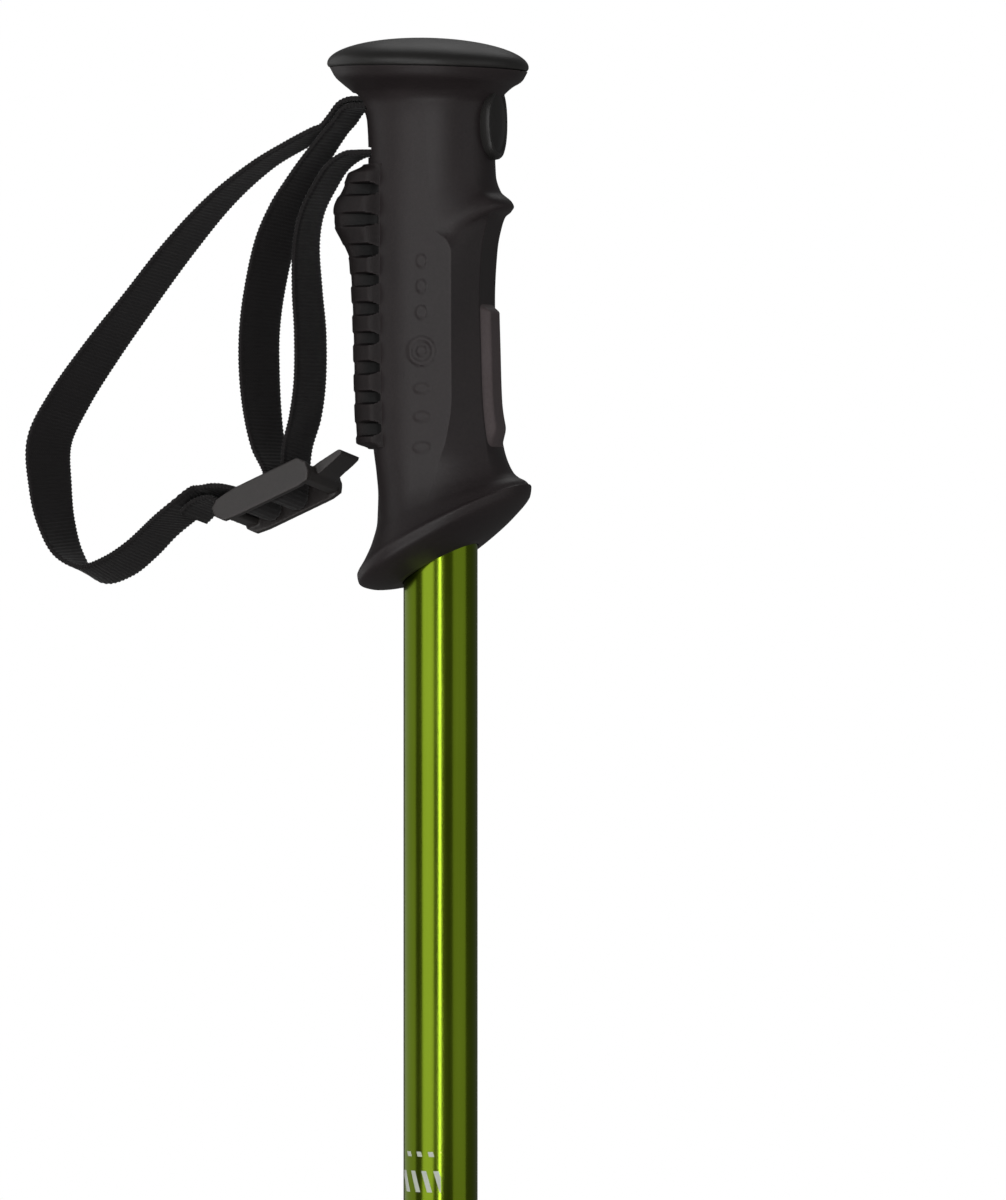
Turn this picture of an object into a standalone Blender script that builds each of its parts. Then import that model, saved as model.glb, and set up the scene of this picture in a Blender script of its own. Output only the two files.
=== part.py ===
"""An alpine ski pole: aluminium shaft, moulded grip, wrist strap with a ladder buckle, basket and tip.

Metres, +Z up along the shaft. The origin is the centre of the tip's flat end. +X is the side
that the fingers close on, -X the palm side where the strap leaves the grip.
"""
import math

import bmesh
import bpy
from mathutils import Matrix, Vector

MM = 0.001

# ---------------------------------------------------------------- driving sizes
POLE_LENGTH = 1200 * MM
CLEARANCE = 0.3 * MM

SHAFT_DIAMETER = 18 * MM
SHAFT_WALL = 0.9 * MM
SHAFT_END_DIAMETER = 11 * MM
SHAFT_BOTTOM = 58 * MM
TAPER_LENGTH = 380 * MM
TAPER_BOTTOM = 112 * MM

CAP_DIAMETER = 49 * MM
CAP_DOME = 7.6 * MM
CAP_EDGE = 2.2 * MM
CAP_SET_BACK = 3.1 * MM
CAP_TILT = math.radians(1.4)
CAP_PLUG_DEPTH = 3.4 * MM

BORE_ROOF = 33 * MM
WIDEST_BACK = 2.5 * MM
FRONT_FLAT = 5.5 * MM
FACET_FRONT = 3.0 * MM
FACET_INSET = 0.8 * MM

PALM_TOP = 30.8 * MM
PALM_BOTTOM = 98.8 * MM
GROOVE_TOP = 37.2 * MM
GROOVE_PITCH = 7.13 * MM
GROOVE_COUNT = 9
GROOVE_WIDTH = 1.9 * MM
GROOVE_SLOPE = 0.7 * MM
GROOVE_DEPTH = 1.3 * MM

PALM_EDGE = 1.9 * MM

FINGER_PAD_TOP = 64.6 * MM
FINGER_PAD_BOTTOM = 101.5 * MM
FINGER_PAD_THICKNESS = 1.7 * MM

BADGE_DROP = 20.9 * MM
BADGE_HEIGHT = 18.0 * MM
BADGE_WIDTH = 11.4 * MM
BADGE_THICKNESS = 2.6 * MM

STRAP_WIDTH = 15 * MM
STRAP_THICKNESS = 1.3 * MM
UPPER_SLOT_DROP = 15.6 * MM
LOWER_SLOT_DROP = 27.8 * MM
SLOT_SIDE_ROOM = 0.6 * MM

PIN_DIAMETER = 4 * MM
PIN_SET_BACK = 6 * MM
PIN_DROP = 21.6 * MM
PIN_SEAT = 2.8 * MM

BUCKLE_PLACE = Vector((-39.8 * MM, -2.0 * MM, -110.4 * MM))
BUCKLE_PITCH = math.radians(24)
BUCKLE_ROLL = math.radians(-10)
BUCKLE_RAIL = 2.0 * MM
RAIL_HEIGHT = 6.8 * MM
BUCKLE_BACK_LENGTH = 15.5 * MM
BUCKLE_FRONT_LENGTH = 11.3 * MM
BUCKLE_BAR_DIAMETER = 3.0 * MM
LOCK_BAR_DISTANCE = 7.4 * MM
LOCK_BAR_RISE = 0.3 * MM
LOCK_BAR_DIAMETER = 2.6 * MM
END_PLATE_LENGTH = 3.6 * MM
TAB_LENGTH = 8.2 * MM
TAB_HALF_WIDTH = 5.2 * MM

BASKET_DIAMETER = 58 * MM
BASKET_HEIGHT = 62 * MM
BASKET_HUB_DIAMETER = 20 * MM
BASKET_HUB_HEIGHT = 11 * MM
BASKET_PLATE = 2.2 * MM
BASKET_DISH = 3.0 * MM
BASKET_WINDOWS = 6
HUB_CHAMFER = 1 * MM

FERRULE_TOP = 100 * MM
FERRULE_BOTTOM = 14 * MM
FERRULE_WALL = 1.8 * MM
STUD_DIAMETER = 6 * MM
STUD_END_DIAMETER = 4.4 * MM
STUD_SEAT = 18 * MM

RING_POINTS = 32
TUBE_SIDES = 32

# The grip's outline, from its cap seat down: the drop below the pole's top on the shaft's axis,
# how far the front, the back and the sides stand out from the axis, how far the front is faceted
# for the fingers (0 round, 1 faceted), and how far that section leans, front up, in degrees.
GRIP_SECTIONS = [
    (10.2, 19.6, 25.8, 22.3, 0.0, -1.4),
    (11.7, 17.4, 24.2, 19.6, 0.0, -1.3),
    (13.6, 15.6, 21.8, 16.6, 0.0, -1.0),
    (16.2, 14.0, 19.6, 14.7, 0.0, 0.0),
    (20.5, 13.4, 18.2, 14.0, 0.1, 0.0),
    (27.0, 13.3, 17.9, 13.8, 0.1, 0.0),
    (33.5, 13.5, 17.9, 13.8, 0.2, 0.0),
    (37.5, 14.8, 17.9, 13.9, 0.3, 0.0),
    (40.2, 17.9, 17.9, 14.0, 0.3, 0.0),
    (41.8, 18.3, 17.9, 14.0, 0.4, 0.0),
    (43.6, 15.4, 17.9, 14.0, 0.6, 0.0),
    (46.5, 13.8, 17.9, 14.0, 0.9, 0.0),
    (52.0, 12.7, 17.9, 14.0, 1.0, 0.0),
    (63.5, 12.1, 17.8, 14.0, 1.0, 0.0),
    (76.0, 12.4, 17.6, 13.9, 1.0, 0.0),
    (88.0, 12.8, 17.3, 13.7, 1.0, 0.0),
    (98.0, 14.4, 16.6, 13.7, 0.8, 3.0),
    (104.0, 16.2, 15.6, 13.9, 0.5, 7.0),
    (109.0, 17.9, 15.0, 14.8, 0.3, 12.0),
    (113.0, 19.5, 15.0, 16.2, 0.1, 18.0),
    (116.5, 21.2, 16.2, 18.0, 0.0, 23.0),
    (119.2, 22.1, 18.3, 19.6, 0.0, 26.0),
    (120.5, 22.4, 20.0, 20.5, 0.0, 28.0),
    (122.3, 22.2, 19.7, 20.2, 0.0, 28.2),
    (124.9, 18.8, 17.0, 17.2, 0.0, 28.3),
    (126.8, 14.4, 13.4, 13.4, 0.0, 28.3),
    (127.8, 10.9, 10.9, 10.9, 0.0, 28.3),
]
GRIP_WIDTH_NOMINAL_SHAFT = 18 * MM

# How far the palm pad stands out behind the body, against the drop below the pole's top.
PALM_SWELL = [
    (30.8, 4.2),
    (36.0, 6.2),
    (41.8, 8.7),
    (44.5, 8.7),
    (50.0, 6.3),
    (54.5, 4.6),
    (76.0, 3.9),
    (98.8, 4.0),
]

# The wrist band from the end of its neck round to the buckle, and the two runs of the short band:
# distance behind the axis, sideways place, drop below the top, and twist about the run in degrees.
WRIST_ROUTE = [
    (-30.5, 0.0, 22.0, 0),
    (-37.2, 0.0, 25.2, 0),
    (-46.5, 0.0, 30.3, 0),
    (-57.3, 0.0, 38.7, 4),
    (-68.2, 0.0, 50.1, 9),
    (-79.0, 0.0, 63.2, 12),
    (-89.3, 0.0, 76.0, 17),
    (-97.5, 0.0, 87.4, 21),
    (-102.7, 0.0, 97.6, 23),
    (-102.4, 0.0, 109.0, 20),
    (-100.9, 0.0, 117.4, 14),
    (-97.5, 0.0, 125.2, 4),
    (-91.3, 0.0, 130.0, -14),
    (-84.6, 0.0, 128.3, -17),
    (-78.2, 0.0, 124.0, -14),
    (-72.8, 0.0, 119.1, -12),
    (-65.5, -1.6, 113.9, -13),
]
SHORT_OUTER_ROUTE = [
    (-32.6, 0.0, 29.3, 4),
    (-36.2, 0.0, 35.1, 10),
    (-39.8, 0.0, 41.4, 15),
    (-43.2, 0.0, 49.6, 18),
    (-46.0, 0.0, 61.7, 18),
    (-47.2, 0.0, 71.4, 18),
    (-47.2, 0.0, 81.1, 18),
    (-46.4, 0.0, 90.8, 15),
    (-44.7, -0.6, 99.0, 10),
]
SHORT_INNER_ROUTE = [
    (-37.0, -0.6, 99.0, -6),
    (-35.2, 0.0, 91.8, -8),
    (-34.0, 0.0, 83.1, -8),
    (-33.9, 0.0, 71.4, -8),
    (-34.7, 0.0, 60.5, -6),
    (-34.9, 0.0, 49.6, -2),
    (-33.4, 0.0, 41.9, 0),
    (-30.0, 0.0, 35.4, 0),
    (-26.7, 0.0, 30.8, 0),
]
BAND_SPACING = 4 * MM

# ---------------------------------------------------------------- sizes worked out from those
SHAFT_RADIUS = SHAFT_DIAMETER / 2
SHAFT_TOP = POLE_LENGTH - BORE_ROOF - CLEARANCE
GROWTH = (SHAFT_DIAMETER - GRIP_WIDTH_NOMINAL_SHAFT) / 2
LAYER = STRAP_THICKNESS + CLEARANCE
PIN_RADIUS = PIN_DIAMETER / 2
FOLD_RADIUS = PIN_RADIUS + CLEARANCE + STRAP_THICKNESS / 2
CAVITY_BACK = PIN_SET_BACK + FOLD_RADIUS + 4 * MM
CAVITY_FRONT = PIN_SET_BACK - FOLD_RADIUS - 1.4 * MM
CAVITY_FLOOR = LOWER_SLOT_DROP + STRAP_THICKNESS
CAVITY_SIDE = STRAP_WIDTH / 2 + SLOT_SIDE_ROOM
PIN_HALF_LENGTH = CAVITY_SIDE + PIN_SEAT
SEAT_DROP = GRIP_SECTIONS[0][0] * MM
BAR_BIGHT = BUCKLE_BAR_DIAMETER / 2 + CLEARANCE + STRAP_THICKNESS / 2
LOCK_BEND = LOCK_BAR_DIAMETER / 2 + CLEARANCE + STRAP_THICKNESS / 2
BUCKLE_INNER = STRAP_WIDTH / 2 + 0.7 * MM
MOUTH_BACK = 21.2 * MM + GROWTH
NECK_END_BACK = 25.6 * MM + GROWTH
NECK_END_DROP = 19.4 * MM
TWIST_GAP = 0.3 * MM
NECK_RUN = (-0.68, 0, -0.73)
NECK_FIRST_SLOPE = -0.35
NECK_CROWN = 0.9 * MM
NECK_END_STRAIGHT = 1.2 * MM


# ---------------------------------------------------------------- helpers
def clear_scene():
    for thing in list(bpy.data.objects):
        bpy.data.objects.remove(thing, do_unlink=True)


def material(name, colour, roughness, metallic=0.0):
    made = bpy.data.materials.new(name)
    made.use_nodes = True
    shader = made.node_tree.nodes["Principled BSDF"]
    shader.inputs["Base Color"].default_value = (*colour, 1.0)
    shader.inputs["Roughness"].default_value = roughness
    shader.inputs["Metallic"].default_value = metallic
    return made


def place(name, bm, look, parent=None):
    """An object from a finished bmesh, shaded smooth with its sharp edges kept."""
    bmesh.ops.recalc_face_normals(bm, faces=bm.faces)
    mesh = bpy.data.meshes.new(name)
    bm.to_mesh(mesh)
    bm.free()
    mesh.shade_smooth()
    mesh.set_sharp_from_angle(angle=math.radians(35))
    thing = bpy.data.objects.new(name, mesh)
    thing.data.materials.append(look)
    bpy.context.collection.objects.link(thing)
    if parent:
        thing.parent = parent
    return thing


def pivot(name, at, rotation=None, parent=None):
    """An empty on a joint's axis; the world place is given, and the parent's is taken off."""
    empty = bpy.data.objects.new(name, None)
    bpy.context.collection.objects.link(empty)
    world = Matrix.Translation(at) @ (rotation or Matrix())
    if parent:
        empty.parent = parent
        world = parent.matrix_world.inverted() @ world
    empty.matrix_basis = world
    bpy.context.view_layer.update()
    return empty


def combine(thing, tool, how):
    """Cut or join with another object, which stays as a hidden guide."""
    tool.hide_render = True
    tool.display_type = "WIRE"
    step = thing.modifiers.new(tool.name, "BOOLEAN")
    step.operation = how
    step.solver = "EXACT"
    step.object = tool


def block(low, high):
    """A box between two corners."""
    bm = bmesh.new()
    bmesh.ops.create_cube(bm, size=1)
    low, high = Vector(low), Vector(high)
    bmesh.ops.scale(bm, verts=bm.verts, vec=high - low)
    bmesh.ops.translate(bm, verts=bm.verts, vec=(low + high) / 2)
    return bm


def rod(radius, start, end, sides=24):
    """A round bar between two points."""
    start, end = Vector(start), Vector(end)
    bm = bmesh.new()
    bmesh.ops.create_cone(
        bm, cap_ends=True, segments=sides, radius1=radius, radius2=radius, depth=(end - start).length
    )
    turn = Vector((0, 0, 1)).rotation_difference(end - start).to_matrix().to_4x4()
    bmesh.ops.transform(bm, verts=bm.verts, matrix=Matrix.Translation((start + end) / 2) @ turn)
    return bm


def turned(profile, sides=TUBE_SIDES):
    """A solid of revolution about Z from (radius, height) points; a closed profile gives a ring."""
    bm = bmesh.new()
    points = [bm.verts.new((r, 0, z)) for r, z in profile]
    edges = [bm.edges.new((a, b)) for a, b in zip(points, points[1:])]
    if profile[0][0] > 0:
        edges.append(bm.edges.new((points[-1], points[0])))
    bmesh.ops.spin(
        bm, geom=points + edges, axis=(0, 0, 1), cent=(0, 0, 0), angle=math.tau, steps=sides, use_merge=True
    )
    bmesh.ops.remove_doubles(bm, verts=bm.verts, dist=1e-7)
    return bm


def loft(rings):
    """A closed solid through rings of points, with flat ends."""
    bm = bmesh.new()
    rows = [[bm.verts.new(p) for p in ring] for ring in rings]
    for one, two in zip(rows, rows[1:]):
        for i in range(len(one)):
            j = (i + 1) % len(one)
            bm.faces.new((one[i], one[j], two[j], two[i]))
    bm.faces.new(rows[0][::-1])
    bm.faces.new(rows[-1])
    return bm


def mix(a, b, share):
    return a + (b - a) * share


def look_up(table, value):
    """A value from a table of (place, value) rows, straight between its rows."""
    for (p, a), (q, b) in zip(table, table[1:]):
        if value <= q:
            return mix(a, b, max(0.0, (value - p) / (q - p)))
    return table[-1][1]


def smooth_through(rows, spacing):
    """Rows of numbers about a spacing apart, on a smooth curve through the given rows.

    Each row starts with a place, x, y and z. The curve is a Hermite spline whose slopes allow for
    rows that are unevenly far apart.
    """
    gaps = [(b - a).to_3d().length for a, b in zip(rows, rows[1:])]
    slopes = [(b - a) / gap for a, b, gap in zip(rows, rows[1:], gaps)]
    tangents = [slopes[0]]
    for k in range(1, len(slopes)):
        tangents.append((slopes[k - 1] * gaps[k] + slopes[k] * gaps[k - 1]) / (gaps[k - 1] + gaps[k]))
    tangents.append(slopes[-1])
    made = []
    for k, gap in enumerate(gaps):
        steps = max(1, round(gap / spacing))
        for t in (j / steps for j in range(steps)):
            made.append(
                rows[k] * (2 * t ** 3 - 3 * t ** 2 + 1)
                + tangents[k] * gap * (t ** 3 - 2 * t ** 2 + t)
                + rows[k + 1] * (3 * t ** 2 - 2 * t ** 3)
                + tangents[k + 1] * gap * (t ** 3 - t ** 2)
            )
    return made + [rows[-1]]


# ---------------------------------------------------------------- the grip's surface
def section_at(drop):
    """Front, back, side, facet and lean of the grip at a drop below the top, in metres and radians."""
    rows = GRIP_SECTIONS
    at = drop / MM
    k = max(i for i in range(len(rows) - 1) if rows[i][0] <= at or i == 0)
    share = min(1.0, (at - rows[k][0]) / (rows[k + 1][0] - rows[k][0]))
    front, back, side, facet, lean = [mix(a, b, share) for a, b in zip(rows[k][1:], rows[k + 1][1:])]
    return front * MM + GROWTH, back * MM + GROWTH, side * MM + GROWTH, facet, math.radians(lean)


def outline(drop, turn):
    """A point on the grip's section; turn is 0 in front, pi behind."""
    front, back, side, facet, _ = section_at(drop)
    c, s = math.cos(turn), math.sin(turn)
    reach = front + WIDEST_BACK if c > 0 else back - WIDEST_BACK
    point = Vector((-WIDEST_BACK + reach * c, side * s))
    if c > 0 and facet > 0:
        point = point.lerp(facet_point(front, side, turn), facet)
    return point


def facet_point(front, side, turn):
    """The faceted outline: a flat front, a straight cheek each side, and a short shoulder."""
    size = abs(math.remainder(turn, math.tau))
    sign = math.copysign(1, math.sin(turn))
    flat = 3 * math.tau / RING_POINTS
    corner = Vector((FACET_FRONT, side - FACET_INSET))
    if size <= flat:
        found = Vector((front, FRONT_FLAT * size / flat))
    else:
        share = (size - flat) / (math.pi / 2 - flat)
        if share < 0.8:
            found = Vector((front, FRONT_FLAT)).lerp(corner, share / 0.8)
        else:
            found = corner.lerp(Vector((-WIDEST_BACK, side)), (share - 0.8) / 0.2)
    return Vector((found.x, found.y * sign))


def on_grip(drop, turn, lift=0.0):
    """A point on the grip, or lift above it, in the pole's frame."""
    step = 0.02
    here = outline(drop, turn)
    along = outline(drop, turn + step) - outline(drop, turn - step)
    normal = Vector((along.y, -along.x)).normalized()
    here = here + normal * lift
    lean = section_at(drop)[4]
    return Vector((here.x, here.y, POLE_LENGTH - drop + here.x * math.tan(lean)))


def ring_turns():
    return [math.tau * k / RING_POINTS for k in range(RING_POINTS)]


# ---------------------------------------------------------------- webbing
def band(route, width=STRAP_WIDTH, thickness=STRAP_THICKNESS, frame=None):
    """Flat webbing along (point, twist) rows. Its width starts out along Y and turns by the twist."""
    frame = frame or Matrix()
    rings = []
    for k, (point, twist) in enumerate(route):
        before = route[max(k - 1, 0)][0]
        after = route[min(k + 1, len(route) - 1)][0]
        run = (after - before).normalized()
        across = Vector((0, 1, 0))
        across = (across - run * across.dot(run)).normalized()
        across = Matrix.Rotation(twist, 3, run) @ across
        up = run.cross(across)
        a, b = across * width / 2, up * thickness / 2
        rings.append([frame @ (point + x) for x in (a + b, b - a, -a - b, a - b)])
    return loft(rings)


def along_route(rows, spacing=BAND_SPACING):
    """(point, twist) rows along a smooth curve through (x, y, z, twist) vectors."""
    return [(v.to_3d(), v.w) for v in smooth_through(rows, spacing)]


def route_row(back, side, drop, twist):
    """A row of a strap's route, in metres, radians and the pole's frame."""
    return Vector((back * MM - GROWTH, side * MM, POLE_LENGTH - drop * MM, math.radians(twist)))


def flat_row(x, drop, twist=0.0):
    """A row of a band's route in the plane Y = 0."""
    return Vector((x, 0, POLE_LENGTH - drop, twist))


# ---------------------------------------------------------------- grip pieces
def grip_body(look):
    turns = ring_turns()
    rings = [[on_grip(row[0] * MM, turn) for turn in turns] for row in GRIP_SECTIONS]
    body = place("grip_body", loft(rings), look)
    top = POLE_LENGTH
    side = CAVITY_SIDE
    over = 3 * MM
    bore = place(
        "bore_cutter",
        rod(SHAFT_RADIUS + CLEARANCE, (0, 0, top - 150 * MM), (0, 0, top - BORE_ROOF), TUBE_SIDES),
        look,
    )
    cavity = place(
        "cavity_cutter",
        block((-CAVITY_BACK, -side, top - CAVITY_FLOOR), (-CAVITY_FRONT, side, top - SEAT_DROP + over)),
        look,
    )
    upper = place("upper_slot_cutter", slot_block(UPPER_SLOT_DROP, 2 * LAYER + 2 * CLEARANCE), look)
    lower = place("lower_slot_cutter", slot_block(LOWER_SLOT_DROP, LAYER + 3 * CLEARANCE), look)
    seat = PIN_RADIUS + CLEARANCE
    cradle = place(
        "cradle_cutter",
        block(
            (-PIN_SET_BACK - seat, -PIN_HALF_LENGTH - CLEARANCE, top - PIN_DROP - seat),
            (-PIN_SET_BACK + seat, PIN_HALF_LENGTH + CLEARANCE, top - SEAT_DROP + over),
        ),
        look,
    )
    for cutter in (bore, cavity, cradle, upper, lower):
        combine(body, cutter, "DIFFERENCE")
    return body


def slot_block(drop, height):
    """The cutter of a strap slot, from the cavity out through the back of the head."""
    side = CAVITY_SIDE
    middle = POLE_LENGTH - drop
    return block(
        (-CAVITY_BACK - 30 * MM, -side, middle - height / 2),
        (-CAVITY_BACK + 1 * MM, side, middle + height / 2),
    )


def grip_cap(look):
    """The domed cap: a disc on the seat, a plug in the cavity and two legs that hold the pin down."""
    radius = CAP_DIAMETER / 2
    quarter = [math.pi / 2 * k / 8 for k in range(9)]
    profile = [(radius * math.sin(t), -CAP_DOME * (1 - math.cos(t))) for t in quarter]
    edge = [math.pi / 2 * k / 3 for k in range(1, 4)]
    profile += [
        (radius - CAP_EDGE * (1 - math.cos(t)), -CAP_DOME - CAP_EDGE * math.sin(t)) for t in edge
    ]
    profile.append((0, profile[-1][1]))
    bm = turned(profile)
    seat = Vector((-CAP_SET_BACK, 0, POLE_LENGTH))
    bmesh.ops.transform(bm, verts=bm.verts, matrix=Matrix.Rotation(CAP_TILT, 4, "Y"))
    bmesh.ops.translate(bm, verts=bm.verts, vec=seat)
    cap = place("grip_cap", bm, look)
    top = POLE_LENGTH
    inside = CAP_DOME
    plug_low = top - SEAT_DROP - CAP_PLUG_DEPTH
    plug = place(
        "cap_plug",
        block(
            (-CAVITY_BACK + CLEARANCE, -CAVITY_SIDE + CLEARANCE, plug_low),
            (-CAVITY_FRONT - CLEARANCE, CAVITY_SIDE - CLEARANCE, top - inside),
        ),
        look,
    )
    combine(cap, plug, "UNION")
    for name, side in (("cap_leg_left", 1), ("cap_leg_right", -1)):
        inner = side * (CAVITY_SIDE + CLEARANCE)
        outer = side * PIN_HALF_LENGTH
        leg = place(
            name,
            block(
                (-PIN_SET_BACK - PIN_RADIUS, min(inner, outer), top - PIN_DROP + PIN_RADIUS + CLEARANCE),
                (-PIN_SET_BACK + PIN_RADIUS, max(inner, outer), top - inside),
            ),
            look,
        )
        combine(cap, leg, "UNION")
    return cap


def strap_pin(look):
    at = Vector((-PIN_SET_BACK, 0, POLE_LENGTH - PIN_DROP))
    half = Vector((0, PIN_HALF_LENGTH, 0))
    return place("strap_pin", rod(PIN_RADIUS, at - half, at + half), look)


def groove_drops():
    return [GROOVE_TOP + k * GROOVE_PITCH for k in range(GROOVE_COUNT)]


def palm_rows():
    """(drop, depth cut) rows down the palm pad: ribs between grooves with sloping walls."""
    half = GROOVE_WIDTH / 2
    rows = [(PALM_TOP, GROOVE_DEPTH), (PALM_TOP + 1 * MM, 0.0)]
    for drop in groove_drops():
        rows.append((drop - half - GROOVE_SLOPE, 0.0))
        rows.append((drop - half, GROOVE_DEPTH))
        rows.append((drop + half, GROOVE_DEPTH))
        rows.append((drop + half + GROOVE_SLOPE, 0.0))
    rows += [(PALM_BOTTOM - 1 * MM, 0.0), (PALM_BOTTOM, GROOVE_DEPTH)]
    return rows


def palm_pad(look):
    """The soft ribbed pad moulded on the back of the grip, thickest behind and thin at its sides."""
    wrap = 5
    turns = [math.pi + math.tau * k / RING_POINTS for k in range(-wrap, wrap + 1)]
    rings = []
    for drop, cut in palm_rows():
        swell = look_up(PALM_SWELL, drop / MM) * MM
        outer = []
        for k, turn in enumerate(turns):
            away = abs(k - wrap) / wrap
            thick = mix(swell, PALM_EDGE, away ** 2) - cut * mix(0.25, 1.0, away)
            outer.append(on_grip(drop, turn, CLEARANCE + thick))
        inner = [on_grip(drop, turn, CLEARANCE) for turn in reversed(turns)]
        rings.append(outer + inner)
    return place("palm_pad", loft(rings), look)


def finger_pad(look):
    """The raised strip on the front that the fingers close on."""
    wrap = 3
    turns = [math.tau * k / RING_POINTS for k in range(-wrap, wrap + 1)]
    slope = 1.6 * MM
    drops = [FINGER_PAD_TOP, FINGER_PAD_TOP + slope]
    middle = [row[0] * MM for row in GRIP_SECTIONS]
    drops += [d for d in middle if FINGER_PAD_TOP + slope < d < FINGER_PAD_BOTTOM - slope]
    drops += [FINGER_PAD_BOTTOM - slope, FINGER_PAD_BOTTOM]
    rings = []
    for drop in drops:
        end = drop in (FINGER_PAD_TOP, FINGER_PAD_BOTTOM)
        outer = []
        for k, turn in enumerate(turns):
            rim = end or abs(k - wrap) == wrap
            outer.append(on_grip(drop, turn, CLEARANCE + FINGER_PAD_THICKNESS * (0.4 if rim else 1.0)))
        inner = [on_grip(drop, turn, CLEARANCE) for turn in reversed(turns)]
        rings.append(outer + inner)
    return place("finger_pad", loft(rings), look)


def front_badge(look):
    """A plain oval plate on the front of the neck, following its curve."""
    across = math.asin(BADGE_WIDTH / 2 / section_at(BADGE_DROP)[2])
    around = [math.tau * k / 20 for k in range(20)]
    thick = BADGE_THICKNESS
    shells = [(0.35, thick), (0.8, thick), (1.0, 0.5 * thick), (1.0, 0.0), (0.5, 0.0)]
    rings = []
    for size, lift in shells:
        ring = []
        for t in around:
            drop = BADGE_DROP + BADGE_HEIGHT / 2 * size * math.sin(t)
            ring.append(on_grip(drop, across * size * math.cos(t), CLEARANCE + lift))
        rings.append(ring)
    return place("front_badge", loft(rings), look)


# ---------------------------------------------------------------- shaft, basket and tip
def shaft_radius(height):
    """The shaft's outer radius: even, then tapering down to the tip."""
    share = (height - TAPER_BOTTOM) / TAPER_LENGTH
    return mix(SHAFT_END_DIAMETER / 2, SHAFT_RADIUS, min(1.0, max(0.0, share)))


def shaft(look):
    heights = [SHAFT_BOTTOM, TAPER_BOTTOM, TAPER_BOTTOM + TAPER_LENGTH, SHAFT_TOP]
    outer = [(shaft_radius(z), z) for z in reversed(heights)]
    inner = [(shaft_radius(z) - SHAFT_WALL, z) for z in heights]
    return place("shaft", turned(outer + inner), look)


def ferrule_radius(height):
    """The outside of the tip ferrule: a slim cone that widens to fit over the shaft's end."""
    end = SHAFT_END_DIAMETER / 2 + CLEARANCE + FERRULE_WALL
    foot = STUD_DIAMETER / 2 + 1.2 * MM
    share = (height - FERRULE_BOTTOM) / (SHAFT_BOTTOM - FERRULE_BOTTOM)
    return mix(foot, end, min(1.0, max(0.0, share)))


def tip_ferrule(look):
    bore = SHAFT_END_DIAMETER / 2 + CLEARANCE
    hub = BASKET_HEIGHT + BASKET_HUB_HEIGHT / 2 + CLEARANCE
    collar = ferrule_radius(hub) + 1.6 * MM
    outer = [
        (ferrule_radius(FERRULE_TOP) - 1.0 * MM, FERRULE_TOP),
        (ferrule_radius(FERRULE_TOP), FERRULE_TOP - 3 * MM),
        (ferrule_radius(hub), hub + 6 * MM),
        (collar, hub + 4 * MM),
        (collar, hub),
        (ferrule_radius(hub), hub),
        (ferrule_radius(SHAFT_BOTTOM), SHAFT_BOTTOM - 4 * MM),
        (ferrule_radius(FERRULE_BOTTOM), FERRULE_BOTTOM),
    ]
    stud = STUD_DIAMETER / 2 + CLEARANCE
    inner = [
        (stud, FERRULE_BOTTOM),
        (stud, FERRULE_BOTTOM + STUD_SEAT),
        (0.0, FERRULE_BOTTOM + STUD_SEAT),
    ]
    body = place("tip_ferrule", turned([(0.0, FERRULE_TOP)] + outer + inner), look)
    socket = place(
        "socket_cutter", rod(bore, (0, 0, SHAFT_BOTTOM - CLEARANCE), (0, 0, FERRULE_TOP + 10 * MM)), look
    )
    combine(body, socket, "DIFFERENCE")
    return body


def basket(look):
    """A dished disc on a hub, with a ring of windows that let the snow through."""
    bore = ferrule_radius(BASKET_HEIGHT) + CLEARANCE
    hub = BASKET_HUB_DIAMETER / 2
    rim = BASKET_DIAMETER / 2
    low = BASKET_HEIGHT - BASKET_HUB_HEIGHT / 2
    high = BASKET_HEIGHT + BASKET_HUB_HEIGHT / 2
    plate_top = BASKET_HEIGHT + BASKET_PLATE
    profile = [
        (bore, high),
        (hub - HUB_CHAMFER, high),
        (hub, plate_top),
        (rim - 2 * MM, plate_top + BASKET_DISH),
        (rim, plate_top + BASKET_DISH - 0.6 * MM),
        (rim, plate_top + BASKET_DISH - 2.4 * MM),
        (rim - 2 * MM, BASKET_HEIGHT + BASKET_DISH),
        (hub, BASKET_HEIGHT),
        (hub - HUB_CHAMFER, low),
        (bore, low),
    ]
    disc = place("basket", turned(profile), look)
    inner, outer = hub + 3 * MM, rim - 4.5 * MM
    share = 0.62
    for k in range(BASKET_WINDOWS):
        middle = math.tau * (k + 0.5) / BASKET_WINDOWS
        half = math.pi / BASKET_WINDOWS * share
        turns = [mix(middle - half, middle + half, t / 4) for t in range(5)]
        ring = [(outer * math.cos(t), outer * math.sin(t)) for t in turns]
        ring += [(inner * math.cos(t), inner * math.sin(t)) for t in reversed(turns)]
        rings = [[Vector((x, y, z)) for x, y in ring] for z in (low - 1 * MM, high + BASKET_DISH)]
        window = place(f"window_cutter_{k + 1}", loft(rings), look)
        combine(disc, window, "DIFFERENCE")
    return disc


def tip_stud(look):
    """The steel point: a flat end with a chamfer, a collar under the ferrule and a shank pressed in it."""
    radius = STUD_DIAMETER / 2
    end = STUD_END_DIAMETER / 2
    collar = radius + 0.9 * MM
    foot = FERRULE_BOTTOM - CLEARANCE
    profile = [
        (0.0, FERRULE_BOTTOM + STUD_SEAT - CLEARANCE),
        (radius, FERRULE_BOTTOM + STUD_SEAT - CLEARANCE),
        (radius, foot),
        (collar, foot),
        (collar, foot - 2 * MM),
        (radius, foot - 4 * MM),
        (radius, 2.0 * MM),
        (end, 0.0),
        (0.0, 0.0),
    ]
    return place("tip_stud", turned(profile, 24), look)


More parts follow.
